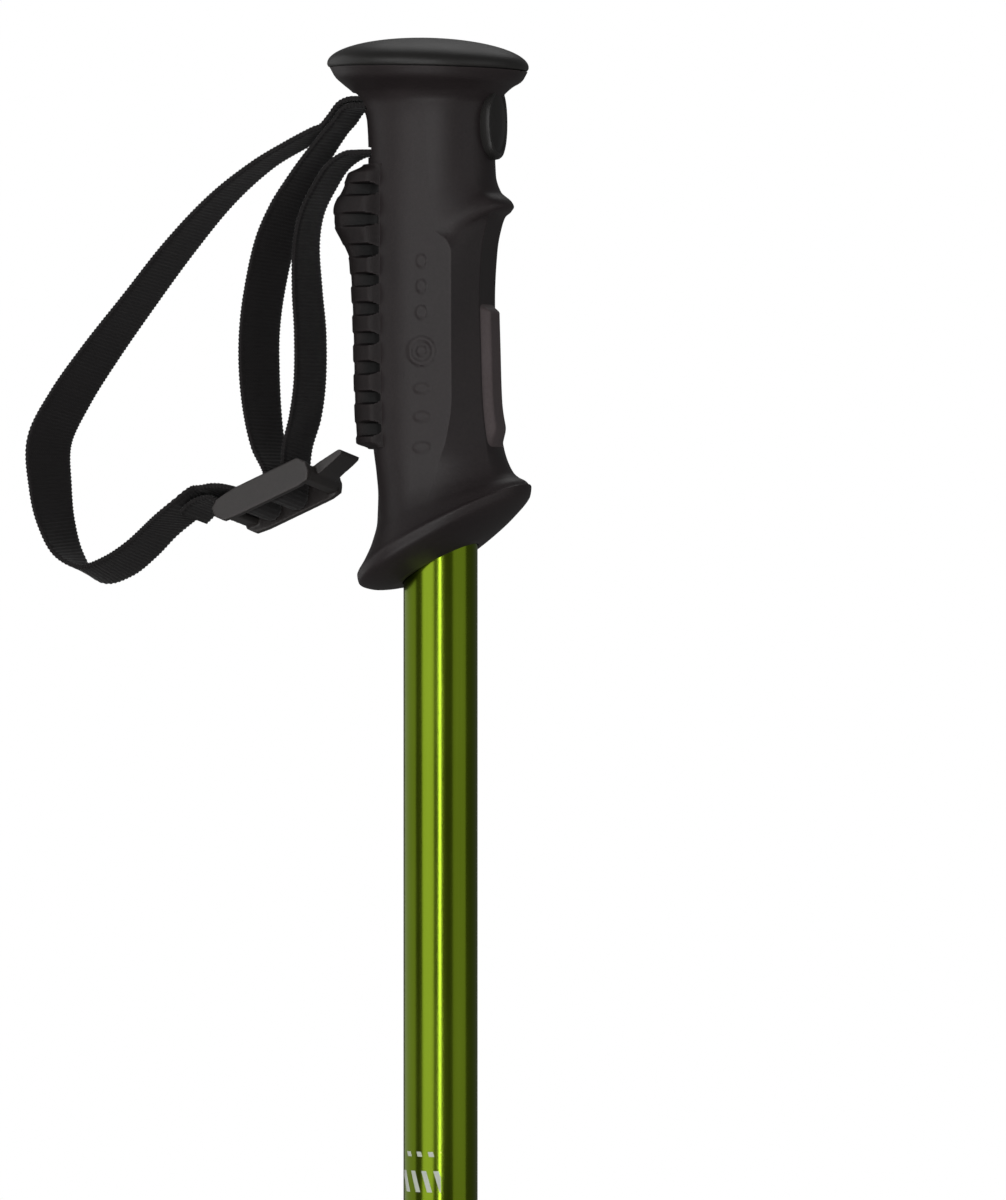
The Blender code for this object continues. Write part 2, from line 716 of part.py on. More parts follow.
# ---------------------------------------------------------------- strap pieces inside the head
def half_fold(back, drop, radius, first, last, steps=8):
    """Rows round a bar in the plane Y = 0, from one angle to another."""
    rows = []
    for k in range(steps + 1):
        t = mix(first, last, k / steps)
        rows.append(flat_row(-back + radius * math.cos(t), drop - radius * math.sin(t)))
    return rows


def short_band_fold(look):
    """The short band's middle, folded round the pin with an end in each slot's mouth."""
    upper = UPPER_SLOT_DROP + LAYER / 2
    mouth = -MOUTH_BACK + 2.0 * MM
    rows = [flat_row(mouth, upper), flat_row(-CAVITY_BACK, upper + 0.1 * MM)]
    rows += half_fold(PIN_SET_BACK, PIN_DROP, FOLD_RADIUS, math.pi * 0.6, -math.pi * 0.6)
    rows += [flat_row(-CAVITY_BACK, LOWER_SLOT_DROP - 0.3 * MM), flat_row(mouth, LOWER_SLOT_DROP)]
    return place("short_band_fold", band([(v.to_3d(), 0.0) for v in rows]), look)


def wrist_band_root(look):
    """The wrist band's sewn end, lying on the fold inside the head."""
    upper = UPPER_SLOT_DROP - LAYER / 2
    over = PIN_DROP - FOLD_RADIUS - LAYER - 0.2 * MM
    rows = [
        flat_row(-MOUTH_BACK + 2.0 * MM, upper),
        flat_row(-CAVITY_BACK, upper + 0.1 * MM),
        flat_row(-PIN_SET_BACK - 1 * MM, over),
        flat_row(-PIN_SET_BACK + 2.2 * MM, over),
    ]
    return place("wrist_band_root", band([(v.to_3d(), 0.0) for v in rows]), look)


# ---------------------------------------------------------------- strap pieces outside
def neck_frame():
    """Where the strap's neck ends: the place between its two layers, and the way they run."""
    start = Vector((-MOUTH_BACK, 0, POLE_LENGTH - UPPER_SLOT_DROP))
    end = Vector((-NECK_END_BACK, 0, POLE_LENGTH - NECK_END_DROP))
    run = Vector(NECK_RUN).normalized()
    return start, end, run


def neck_rows(side):
    """The rows of one neck layer; side is +1 for the upper layer, -1 for the lower."""
    start, end, run = neck_frame()
    up = Vector((run.z, 0, -run.x))
    offset = up * side * LAYER / 2
    first_run = Vector((-1, 0, NECK_FIRST_SLOPE)).normalized()
    rows = []
    for t in (0.0, 0.25, 0.5, 0.75, 1.0):
        bend = first_run.lerp(run, t).normalized()
        sag = Vector((0, 0, NECK_CROWN)) * math.sin(math.pi * t)
        here_up = Vector((bend.z, 0, -bend.x))
        rows.append(start.lerp(end, t) + sag + here_up * side * LAYER / 2)
    rows[-1] = end + offset
    rows.insert(-1, end + offset - run * NECK_END_STRAIGHT)
    return [(p, 0.0) for p in rows]


def neck_piece(name, side, look, parent):
    bm = band(neck_rows(side))
    return hang(name, bm, look, parent)


def hang(name, bm, look, parent):
    """Place a mesh made in the pole's frame under a pivot, with its origin at the pivot."""
    bmesh.ops.transform(bm, verts=bm.verts, matrix=parent.matrix_world.inverted())
    return place(name, bm, look, parent)


def buckle_matrix():
    """The buckle's frame: its fixed bar at the origin, X towards the tab, Y across, Z up."""
    at = BUCKLE_PLACE + Vector((-GROWTH, 0, POLE_LENGTH))
    turn = Matrix.Rotation(-BUCKLE_PITCH, 4, "Y") @ Matrix.Rotation(BUCKLE_ROLL, 4, "X")
    return Matrix.Translation(at) @ turn


def twist_of(run, across):
    """The twist that a band needs so that its width lies along a given direction."""
    flat = Vector((0, 1, 0))
    flat = (flat - run * flat.dot(run)).normalized()
    across = (across - run * across.dot(run)).normalized()
    return math.atan2(flat.cross(across).dot(run), flat.dot(across))


def buckle_entry():
    """Where the wrist band reaches the webbing in the buckle: the place, the run and the twist."""
    frame = buckle_matrix()
    first, second = (frame @ point for point in threaded_route()[:2])
    run = (second - first).normalized()
    across = frame.to_3x3() @ Vector((0, 1, 0))
    return first, run, twist_of(run, across)


def with_twist(point, twist):
    return Vector((*point, twist))


def neck_exit(side):
    """The first rows of a band that goes on from the neck; side as in neck_rows."""
    _, end, run = neck_frame()
    first = end + Vector((run.z, 0, -run.x)) * side * LAYER / 2 + run * TWIST_GAP
    return [with_twist(first, 0.0), with_twist(first + run * 3 * MM, 0.0)]


def wrist_band(look, parent):
    """The loop that goes round the wrist, from the neck to the buckle."""
    rows = neck_exit(1) + [route_row(*row) for row in WRIST_ROUTE]
    at, run, twist = buckle_entry()
    rows += [with_twist(at - run * back, twist) for back in (2.2 * MM, TWIST_GAP)]
    return hang("wrist_band", band(along_route(rows)), look, parent)


def short_band(look, parent):
    """The doubled band: down from the neck, round the buckle's fixed bar and up to the lower slot."""
    frame = buckle_matrix()
    across = frame.to_3x3() @ Vector((0, 1, 0))
    bight = []
    for k in range(9):
        t = math.pi - BUCKLE_PITCH + math.pi * k / 8
        point = frame @ Vector((BAR_BIGHT * math.cos(t), 0, BAR_BIGHT * math.sin(t)))
        run = frame.to_3x3() @ Vector((-math.sin(t), 0, math.cos(t)))
        bight.append((point, run, twist_of(run, across)))
    lead = 5 * MM
    first, last = bight[0], bight[-1]
    outer = neck_exit(-1) + [route_row(*row) for row in SHORT_OUTER_ROUTE]
    outer += [with_twist(first[0] - first[1] * away, first[2]) for away in (lead, 0)]
    inner = [with_twist(last[0] + last[1] * away, last[2]) for away in (0, lead)]
    inner += [route_row(*row) for row in SHORT_INNER_ROUTE]
    inner.append(flat_row(-MOUTH_BACK - 1.2 * MM, LOWER_SLOT_DROP + 0.3 * MM))
    rows = along_route(outer)[:-1] + [(point, twist) for point, _, twist in bight] + along_route(inner)[1:]
    return hang("short_band", band(rows), look, parent)


def level(x, z):
    """A point beside the fixed bar, given level and upright, in the buckle's own frame."""
    slope = BUCKLE_PITCH
    return Vector((x * math.cos(slope) + z * math.sin(slope), 0, z * math.cos(slope) - x * math.sin(slope)))


def threaded_route():
    """Rows of the webbing in the buckle, in the buckle's frame: in high over the end plate, round
    the lock bar, and back out between the end plate and itself to the band's free end."""
    plate_top = LOCK_BAR_RISE + 0.4 * MM
    rows = [
        level(-19.4 * MM, 0.4 * MM),
        level(-17.0 * MM, 0.8 * MM),
        level(-14.0 * MM, 0.7 * MM),
        level(-11.0 * MM, 0.1 * MM),
    ]
    for k in range(9):
        t = mix(math.pi * 0.62, -math.pi * 0.96, k / 8)
        round_x = -LOCK_BAR_DISTANCE + LOCK_BEND * math.cos(t)
        rows.append(Vector((round_x, 0, LOCK_BAR_RISE + LOCK_BEND * math.sin(t))))
    tail = plate_top + CLEARANCE + STRAP_THICKNESS / 2
    edge = -BUCKLE_BACK_LENGTH
    rows += [
        Vector((edge + 4.0 * MM, 0, tail + 0.35 * MM)),
        Vector((edge + 0.8 * MM, 0, tail + 0.9 * MM)),
        level(-17.8 * MM, -2.1 * MM),
        level(-21.4 * MM, -3.2 * MM),
        level(-24.4 * MM, -5.8 * MM),
    ]
    return rows


def threaded_band(look, parent):
    return place("threaded_band", band([(point, 0.0) for point in threaded_route()]), look, parent)


def rail_outline():
    """One side rail of the buckle, from the side: a flat lozenge with clipped corners."""
    back, front = BUCKLE_BACK_LENGTH, BUCKLE_FRONT_LENGTH
    half = RAIL_HEIGHT / 2
    clip = 1.8 * MM
    return [
        (-back, -half * 0.35), (-back + clip, -half * 0.9), (-back + 3 * clip, -half),
        (front - 2 * clip, -half),
        (front - clip / 2, -half * 0.85), (front, -half * 0.3), (front, half * 0.45), (front - clip, half),
        (-back + 4 * clip, half), (-back + clip, half * 0.75), (-back, half * 0.3),
    ]


def prism(outline_points, low, high):
    """A shape drawn in X and Z, as thick as from low to high along Y."""
    return loft([[Vector((x, y, z)) for x, z in outline_points] for y in (low, high)])


def buckle_frame(look, parent):
    """The ladder buckle: two rails, an end plate, a lock bar, a fixed bar and a thumb tab."""
    inner = BUCKLE_INNER
    outer = inner + BUCKLE_RAIL
    shape = rail_outline()
    frame = place("buckle_frame", prism(shape, inner, outer), look, parent)
    sink = 0.8 * MM
    plate_top = LOCK_BAR_RISE + 0.4 * MM
    edge = -BUCKLE_BACK_LENGTH + 0.4 * MM
    front = BUCKLE_FRONT_LENGTH
    plate = [
        (edge, -0.9 * MM), (edge + END_PLATE_LENGTH - 0.8 * MM, -1.5 * MM),
        (edge + END_PLATE_LENGTH, -0.4 * MM),
        (edge + END_PLATE_LENGTH - 0.3 * MM, plate_top), (edge + 0.5 * MM, plate_top),
    ]
    tip = front + TAB_LENGTH
    crosspiece = [
        (front - 3.4 * MM, -2.4 * MM), (front - 1.2 * MM, -2.6 * MM), (front + 0.2 * MM, -1.2 * MM),
        (front + 0.2 * MM, 0.9 * MM), (front - 1.4 * MM, 1.7 * MM), (front - 3.4 * MM, 0.9 * MM),
    ]
    tab = [
        (front - 1.4 * MM, -1.4 * MM), (front + 1.6 * MM, -0.9 * MM), (tip - 3 * MM, 0.2 * MM),
        (tip - 0.5 * MM, 1.0 * MM), (tip, 1.7 * MM), (tip - 0.7 * MM, 2.4 * MM), (tip - 3 * MM, 2.1 * MM),
        (front + 1.2 * MM, 1.6 * MM), (front - 1.4 * MM, 1.0 * MM),
    ]
    half = inner + sink
    joined = [
        ("buckle_far_rail", prism(shape, -outer, -inner)),
        ("buckle_end_plate", prism(plate, -half, half)),
        ("buckle_crosspiece", prism(crosspiece, -half, half)),
        ("buckle_tab", prism(tab, -TAB_HALF_WIDTH, TAB_HALF_WIDTH)),
        ("buckle_fixed_bar", rod(BUCKLE_BAR_DIAMETER / 2, (0, -half, 0), (0, half, 0), 20)),
        (
            "buckle_lock_bar",
            rod(
                LOCK_BAR_DIAMETER / 2,
                (-LOCK_BAR_DISTANCE, -half, LOCK_BAR_RISE),
                (-LOCK_BAR_DISTANCE, half, LOCK_BAR_RISE),
                20,
            ),
        ),
    ]
    for name, bm in joined:
        combine(frame, place(name, bm, look, parent), "UNION")
    return frame


# ---------------------------------------------------------------- the pole
def build():
    clear_scene()
    rubber = material("grip_rubber", (0.028, 0.025, 0.026), 0.55)
    plastic = material("grip_plastic", (0.030, 0.028, 0.027), 0.45)
    webbing = material("strap_webbing", (0.014, 0.013, 0.013), 0.85)
    buckle = material("buckle_plastic", (0.055, 0.052, 0.052), 0.4)
    aluminium = material("shaft_aluminium", (0.12, 0.22, 0.01), 0.28, 1.0)
    steel = material("bright_steel", (0.55, 0.55, 0.56), 0.3, 1.0)

    grip_body(rubber)
    grip_cap(plastic)
    palm_pad(rubber)
    finger_pad(rubber)
    front_badge(plastic)
    strap_pin(steel)
    shaft(aluminium)
    tip_ferrule(plastic)
    basket(plastic)
    tip_stud(steel)
    short_band_fold(webbing)
    wrist_band_root(webbing)

    hinge_at = Vector((-MOUTH_BACK + 0.3 * MM, 0, POLE_LENGTH - UPPER_SLOT_DROP + LAYER))
    mouth = pivot("strap_mouth_pivot", hinge_at)
    neck_piece("wrist_band_neck", 1, webbing, mouth)
    neck_piece("short_band_neck", -1, webbing, mouth)
    wrist_band(webbing, mouth)
    short_band(webbing, mouth)
    frame = buckle_matrix()
    tilt = pivot("buckle_pivot", frame.translation, frame.to_3x3().to_4x4(), mouth)
    buckle_frame(buckle, tilt)
    threaded_band(webbing, tilt)


build()
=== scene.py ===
# %% [markdown]
# # An alpine ski pole
# The pole is an aluminium tube with a soft moulded grip, a webbing wrist strap with a ladder
# buckle, a basket and a steel tip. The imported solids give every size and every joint. Each piece
# here is a finer skin made round those solids, in the same metres, so nothing has to be fitted.

# %% Load the frame
import math

import bmesh
import bpy
import numpy as np
from mathutils import Matrix, Vector


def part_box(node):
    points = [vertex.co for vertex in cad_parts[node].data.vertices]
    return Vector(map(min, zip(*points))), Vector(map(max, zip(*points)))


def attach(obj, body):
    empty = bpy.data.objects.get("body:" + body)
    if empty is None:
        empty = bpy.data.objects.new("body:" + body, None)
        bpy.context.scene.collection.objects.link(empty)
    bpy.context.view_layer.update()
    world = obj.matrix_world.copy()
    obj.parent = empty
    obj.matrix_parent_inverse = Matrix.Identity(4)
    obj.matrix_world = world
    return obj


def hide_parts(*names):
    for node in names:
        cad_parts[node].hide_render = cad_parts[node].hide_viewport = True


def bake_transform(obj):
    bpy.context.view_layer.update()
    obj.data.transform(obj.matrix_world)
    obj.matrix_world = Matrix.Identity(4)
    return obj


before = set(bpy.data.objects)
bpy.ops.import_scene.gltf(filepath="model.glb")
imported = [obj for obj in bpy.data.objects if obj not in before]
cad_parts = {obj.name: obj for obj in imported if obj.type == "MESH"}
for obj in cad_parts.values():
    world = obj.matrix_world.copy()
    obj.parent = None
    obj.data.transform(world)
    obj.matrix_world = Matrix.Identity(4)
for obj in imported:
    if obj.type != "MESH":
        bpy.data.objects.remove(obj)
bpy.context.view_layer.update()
MM = 0.001
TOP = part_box("grip_cap")[1].z / MM
print("nodes", len(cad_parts), "top at", round(TOP, 2), "mm")

# %% [markdown]
# ## Camera, floor and light
# A long pole is looked at from the side with a long lens, so that its lines stay parallel. A
# studio lights a dark grip with large soft panels: one broad panel on the left shapes the rubber,
# a narrow one by the camera draws the bright line down the tube, and one on the right lifts the
# far edge. The dark gap between them is what makes the metal look like metal. The floor is pale
# to the eye, but it sends no light back up, so it doesn't wash out the grip's shading.

# %% Camera
VIEW_TURN = math.radians(20)
AIM = Vector((16.13 * MM, 0, 1063.5 * MM))
CAMERA_DISTANCE = 2.5
FRAME_HEIGHT = 290.6 * MM
SENSOR = 36


def towards(turn, lift=0.0):
    """The unit direction from the pole to a viewer or a lamp, turned right of the front of the scene."""
    return Vector((math.sin(turn) * math.cos(lift), -math.cos(turn) * math.cos(lift), math.sin(lift)))


def look_from(thing, place, at):
    thing.location = place
    thing.rotation_euler = (Vector(at) - Vector(place)).to_track_quat("-Z", "Y").to_euler()


lens = bpy.data.cameras.new("camera")
lens.sensor_width = SENSOR
lens.lens = SENSOR * CAMERA_DISTANCE / FRAME_HEIGHT
camera = bpy.data.objects.new("camera", lens)
bpy.context.scene.collection.objects.link(camera)
look_from(camera, AIM + towards(VIEW_TURN) * CAMERA_DISTANCE, AIM)
bpy.context.scene.camera = camera
print("lens", round(lens.lens, 1), "mm")

# %% Studio light
LAMPS = [
    # name, turn from the camera, lift, distance, width, height, power
    ("broad_left", -40, 14, 1.5, 1.05, 1.7, 7.4),
    ("far_left", -115, 6, 1.5, 1.9, 1.9, 5.5),
    ("narrow_front", -2, 4, 2.3, 0.2, 1.7, 10.5),
    ("broad_right", 62, 4, 1.5, 1.3, 1.6, 2.8),
    ("low_front", -14, -44, 1.4, 1.2, 0.7, 5.0),
    ("high_back", 170, 50, 1.8, 1.0, 1.0, 3.0),
]
for name, turn, lift, away, width, height, power in LAMPS:
    panel = bpy.data.lights.new(name, "AREA")
    panel.shape = "RECTANGLE"
    panel.size = width
    panel.size_y = height
    panel.energy = power
    lamp = bpy.data.objects.new(name, panel)
    bpy.context.scene.collection.objects.link(lamp)
    look_from(lamp, AIM + towards(VIEW_TURN + math.radians(turn), math.radians(lift)) * away, AIM)
print("lamps", len(LAMPS))

# %% Surroundings
AMBIENT = 0.1
FLOOR_SIZE = 24
FLOOR_GLOW = 0.62
FLOOR_COLOUR = (0.93, 0.93, 0.92, 1)
world = bpy.data.worlds.new("studio")
world.use_nodes = True
bpy.context.scene.world = world
sky = world.node_tree
seen = sky.nodes.new("ShaderNodeLightPath")
strength = sky.nodes.new("ShaderNodeMix")
strength.inputs["A"].default_value = AMBIENT
strength.inputs["B"].default_value = 1.0
sky.links.new(seen.outputs["Is Camera Ray"], strength.inputs["Factor"])
sky.links.new(strength.outputs["Result"], sky.nodes["Background"].inputs["Strength"])
sky.nodes["Background"].inputs["Color"].default_value = (1, 1, 1, 1)
bpy.context.scene.view_settings.view_transform = "Standard"

bm = bmesh.new()
bmesh.ops.create_grid(bm, x_segments=1, y_segments=1, size=FLOOR_SIZE / 2)
mesh = bpy.data.meshes.new("floor")
bm.to_mesh(mesh)
bm.free()
floor = bpy.data.objects.new("floor", mesh)
bpy.context.scene.collection.objects.link(floor)
paint = bpy.data.materials.new("floor_paint")
paint.use_nodes = True
painted = paint.node_tree.nodes["Principled BSDF"].inputs
painted["Base Color"].default_value = FLOOR_COLOUR
painted["Roughness"].default_value = 0.7
painted["Emission Color"].default_value = (1, 1, 1, 1)
painted["Emission Strength"].default_value = FLOOR_GLOW
floor.data.materials.append(paint)
floor.visible_diffuse = False
floor.visible_glossy = False

# %% [markdown]
# ## Finishes
# Moulded rubber, moulded nylon, woven polyester, anodised aluminium and steel each have their own
# grain. A finish is a small node tree: noise at two scales varies the colour, another noise moves
# the roughness, and a bump gives the grain. Object coordinates are in metres here, so a noise
# scale of 1000 has features about a millimetre wide.

# %% Node helpers


def add(tree, kind, settings=None, **inputs):
    """A node with its settings and inputs given; a socket given as an input is linked."""
    made = tree.nodes.new(kind)
    for key, value in (settings or {}).items():
        setattr(made, key, value)
    for key, value in inputs.items():
        socket = made.inputs[key.replace("_", " ")]
        if isinstance(value, bpy.types.NodeSocket):
            tree.links.new(value, socket)
        else:
            socket.default_value = value
    return made


def sum_of(tree, how, a, b):
    """The output of a Math node; MULTIPLY_ADD's third input is linked by the caller."""
    made = tree.nodes.new("ShaderNodeMath")
    made.operation = how
    for socket, value in zip(made.inputs, (a, b)):
        if isinstance(value, bpy.types.NodeSocket):
            tree.links.new(value, socket)
        else:
            socket.default_value = value
    return made.outputs[0]


def ramp(tree, value, stops):
    """The colour of a value between stops of (place, red, green and blue)."""
    made = add(tree, "ShaderNodeValToRGB", Fac=value)
    marks = made.color_ramp.elements
    while len(marks) < len(stops):
        marks.new(0.5)
    for mark, (at, colour) in zip(marks, stops):
        mark.position = at
        mark.color = (*colour, 1)
    return made.outputs["Color"]


def grey(value):
    return (value, value, value)


def new_finish(name, **fixed):
    """A material with the values that are the same all over it set on its shader."""
    made = bpy.data.materials.new(name)
    made.use_nodes = True
    shader = made.node_tree.nodes["Principled BSDF"]
    for key, value in fixed.items():
        shader.inputs[key.replace("_", " ")].default_value = value
    where = add(made.node_tree, "ShaderNodeTexCoord").outputs["Object"]
    return made, made.node_tree, shader, where


# How many times lighter the painted highlight on convex edges is.
EDGE_HIGHLIGHT_GAIN = 2.6
# Near black painted into the palm pad's notches as painted shade.
PAINTED_NOTCH_SHADE = (0.0016, 0.0013, 0.0013, 1)
GRAIN_DEPTH = 0.1 * MM


def moulded(name, dark, light, rough, grain_scale, grain, patch_scale=45, **fixed):
    """Moulded rubber or nylon: faint patches, a fine grain, convex edges painted lighter as a painted
    highlight, and painted shade where the mesh marks notches.
    """
    made, tree, shader, where = new_finish(name, **fixed)
    noise = "ShaderNodeTexNoise"
    patches = add(tree, noise, Vector=where, Scale=patch_scale, Detail=5).outputs["Fac"]
    speckle = add(tree, noise, Vector=where, Scale=grain_scale * 0.5, Detail=3).outputs["Fac"]
    both = sum_of(tree, "MULTIPLY_ADD", patches, 0.7)
    tree.links.new(sum_of(tree, "MULTIPLY", speckle, 0.3), both.node.inputs[2])
    colour = ramp(tree, both, [(0.3, dark), (0.7, light)])
    # Painted highlight: where pointiness shows a convex edge, the colour is mixed towards a lighter tone,
    # standing in for light catching the edge.
    painted_edge_highlight = add(tree, "ShaderNodeNewGeometry").outputs["Pointiness"]
    painted_edge_highlight = ramp(tree, painted_edge_highlight, [(0.5, grey(0)), (0.62, grey(0.35))])
    mixed = add(tree, "ShaderNodeMix", {"data_type": "RGBA"}, Factor=painted_edge_highlight)
    tree.links.new(colour, mixed.inputs[6])
    mixed.inputs[7].default_value = (*[min(1, c * EDGE_HIGHLIGHT_GAIN) for c in light], 1)
    # Painted shade: where the mesh's per-point mask is set, the colour is mixed to near black, standing in
    # for the shade deep in the palm pad's notches.
    notch_shade_mask = add(tree, "ShaderNodeAttribute", {"attribute_name": "painted_shade"}).outputs["Fac"]
    shaded = add(tree, "ShaderNodeMix", {"data_type": "RGBA"}, Factor=notch_shade_mask)
    tree.links.new(mixed.outputs[2], shaded.inputs[6])
    shaded.inputs[7].default_value = PAINTED_NOTCH_SHADE
    tree.links.new(shaded.outputs[2], shader.inputs["Base Color"])
    gloss = ramp(tree, patches, [(0.25, grey(rough[0])), (0.75, grey(rough[1]))])
    tree.links.new(gloss, shader.inputs["Roughness"])
    pits = add(tree, noise, Vector=where, Scale=grain_scale, Detail=4, Roughness=0.65).outputs["Fac"]
    bump = add(tree, "ShaderNodeBump", Height=pits, Strength=grain, Distance=GRAIN_DEPTH)
    tree.links.new(bump.outputs["Normal"], shader.inputs["Normal"])
    return made


# %% Moulded finishes
grip_rubber = moulded(
    "grip_rubber_finish", (0.0150, 0.0112, 0.0117), (0.0290, 0.0222, 0.0230), (0.4, 0.52), 2600, 0.3,
    Specular_IOR_Level=0.42,
)
pad_rubber = moulded(
    "pad_rubber_finish", (0.0130, 0.0102, 0.0104), (0.0240, 0.0190, 0.0192), (0.46, 0.6), 2200, 0.5,
    Specular_IOR_Level=0.25,
)
finger_rubber = moulded(
    "finger_rubber_finish", (0.070, 0.054, 0.055), (0.110, 0.088, 0.090), (0.5, 0.65), 2400, 0.5,
)
cap_nylon = moulded(
    "cap_nylon_finish", (0.0120, 0.0112, 0.0105), (0.0215, 0.0205, 0.0195), (0.36, 0.5), 3200, 0.3,
)
buckle_acetal = moulded(
    "buckle_acetal_finish", (0.028, 0.0240, 0.0232), (0.048, 0.0425, 0.0410), (0.34, 0.48), 3600, 0.25,
    patch_scale=120,
)
tip_nylon = moulded(
    "tip_nylon_finish", (0.016, 0.016, 0.017), (0.030, 0.030, 0.031), (0.36, 0.52), 2600, 0.35,
)

# %% Webbing finish
RIB_PITCH = 0.95
WARP_PITCH = 0.62
WEAVE_DEPTH = 0.09 * MM


def woven(name):
    """Polyester webbing: ribs across, warp threads along, from the strip's own flat map in metres."""
    made, tree, shader, _ = new_finish(name, Specular_IOR_Level=0.3, Sheen_Weight=0.12, Sheen_Roughness=0.5)
    flat = add(tree, "ShaderNodeTexCoord").outputs["UV"]
    split = add(tree, "ShaderNodeSeparateXYZ", Vector=flat)
    across, along = split.outputs["X"], split.outputs["Y"]
    rib = sum_of(tree, "SINE", sum_of(tree, "MULTIPLY", along, math.tau / (RIB_PITCH * MM)), 0)
    warp = sum_of(tree, "SINE", sum_of(tree, "MULTIPLY", across, math.tau / (WARP_PITCH * MM)), 0)
    shifted = sum_of(tree, "MULTIPLY", rib, warp)
    fuzz = add(tree, "ShaderNodeTexNoise", Vector=flat, Scale=5200, Detail=3).outputs["Fac"]
    patch = add(tree, "ShaderNodeTexNoise", Vector=flat, Scale=130, Detail=4).outputs["Fac"]
    height = sum_of(tree, "MULTIPLY_ADD", shifted, 0.35)
    tree.links.new(sum_of(tree, "MULTIPLY", fuzz, 0.8), height.node.inputs[2])
    # Painted shade and real tone: the colour follows the weave's height, so the grooves between ribs and
    # threads are painted darker as painted shade, while the fuzz and patch noise vary the tone at random.
    groove_shade_and_tone = sum_of(tree, "MULTIPLY_ADD", height, 0.45)
    tree.links.new(sum_of(tree, "MULTIPLY", patch, 0.5), groove_shade_and_tone.node.inputs[2])
    colour = ramp(tree, groove_shade_and_tone, [(0.1, (0.0045, 0.0036, 0.0038)), (0.75, (0.0135, 0.0108, 0.0113))])
    tree.links.new(colour, shader.inputs["Base Color"])
    tree.links.new(ramp(tree, patch, [(0.3, grey(0.62)), (0.7, grey(0.8))]), shader.inputs["Roughness"])
    bump = add(tree, "ShaderNodeBump", Height=height, Strength=0.7, Distance=WEAVE_DEPTH)
    tree.links.new(bump.outputs["Normal"], shader.inputs["Normal"])
    return made


webbing = woven("webbing_finish")

# %% Metal finishes
LINE_STRETCH = 0.012
LINE_DEPTH = 0.03 * MM


def drawn_metal(name, low, high, rough, bars=None, **fixed):
    """Metal drawn or turned: long fine lines along the pole vary its colour and gloss."""
    made, tree, shader, where = new_finish(name, Metallic=1.0, **fixed)
    stretched = add(tree, "ShaderNodeMapping", Vector=where, Scale=(1, 1, LINE_STRETCH)).outputs["Vector"]
    lines = add(tree, "ShaderNodeTexNoise", Vector=stretched, Scale=1700, Detail=4).outputs["Fac"]
    cloud = add(tree, "ShaderNodeTexNoise", Vector=where, Scale=28, Detail=3).outputs["Fac"]
    blend = sum_of(tree, "MULTIPLY_ADD", lines, 0.4)
    tree.links.new(sum_of(tree, "MULTIPLY", cloud, 0.6), blend.node.inputs[2])
    colour = ramp(tree, blend, [(0.3, low), (0.7, high)])
    gloss = ramp(tree, blend, [(0.3, grey(rough[0])), (0.7, grey(rough[1]))])
    if bars:
        colour, gloss = bars(tree, where, colour, gloss, shader)
    tree.links.new(colour, shader.inputs["Base Color"])
    tree.links.new(gloss, shader.inputs["Roughness"])
    bump = add(tree, "ShaderNodeBump", Height=lines, Strength=0.06, Distance=LINE_DEPTH)
    tree.links.new(bump.outputs["Normal"], shader.inputs["Normal"])
    return made


BARS_TOP = 930 * MM
BARS_BOTTOM = 860 * MM
BARS_EDGE = 3.2 * MM
BARS_FRONT = -5.0 * MM
BAR_PITCH = 3.1 * MM
BAR_SHARE = 0.42
BAR_SLOPE = 0.3
ROW_PITCH = 8.6 * MM
ROW_SHARE = 0.6
INK = (0.62, 0.66, 0.58, 1)
INK_GLOSS = (0.5, 0.5, 0.5, 1)


def slanted_bars(tree, where, colour, gloss, shader):
    """A plain printed pattern low on the tube: pale slanted bars, with no lettering."""
    split = add(tree, "ShaderNodeSeparateXYZ", Vector=where)
    slope = sum_of(tree, "MULTIPLY_ADD", split.outputs["Z"], BAR_SLOPE)
    tree.links.new(split.outputs["X"], slope.node.inputs[2])
    phase = sum_of(tree, "FRACT", sum_of(tree, "DIVIDE", slope, BAR_PITCH), 0)
    bar = sum_of(tree, "LESS_THAN", phase, BAR_SHARE)
    row = sum_of(tree, "FRACT", sum_of(tree, "DIVIDE", split.outputs["Z"], ROW_PITCH), 0)
    rows = sum_of(tree, "LESS_THAN", row, ROW_SHARE)
    ink = sum_of(tree, "MULTIPLY", bar, rows)
    for how, axis, limit in (
        ("LESS_THAN", "Z", BARS_TOP), ("GREATER_THAN", "Z", BARS_BOTTOM),
        ("LESS_THAN", "Y", BARS_FRONT), ("LESS_THAN", "X", BARS_EDGE),
    ):
        ink = sum_of(tree, "MULTIPLY", ink, sum_of(tree, how, split.outputs[axis], limit))
    inked = add(tree, "ShaderNodeMix", {"data_type": "RGBA"}, Factor=ink)
    tree.links.new(colour, inked.inputs[6])
    inked.inputs[7].default_value = INK
    matt = add(tree, "ShaderNodeMix", {"data_type": "RGBA"}, Factor=ink)
    tree.links.new(gloss, matt.inputs[6])
    matt.inputs[7].default_value = INK_GLOSS
    metal = sum_of(tree, "SUBTRACT", 1.0, ink)
    tree.links.new(metal, shader.inputs["Metallic"])
    return inked.outputs[2], matt.outputs[2]


anodised = drawn_metal(
    "anodised_finish", (0.158, 0.236, 0.012), (0.186, 0.276, 0.017), (0.15, 0.23), slanted_bars
)
turned_steel = drawn_metal("turned_steel_finish", (0.46, 0.46, 0.47), (0.6, 0.6, 0.61), (0.24, 0.36))
print("finishes", len(bpy.data.materials))

# %% [markdown]
# ## How a skin is made
# Most pieces here are skins that follow a surface known by numbers: the grip's outline at a drop
# below the top and a turn round the pole. A bmesh grid is made flat, its flat map is kept for the
# weave, and each of its points is moved to its place. Welding the grid's long edges makes a tube,
# and filling the two open ends closes it.

# %% Skin helpers
SHARP = math.radians(38)


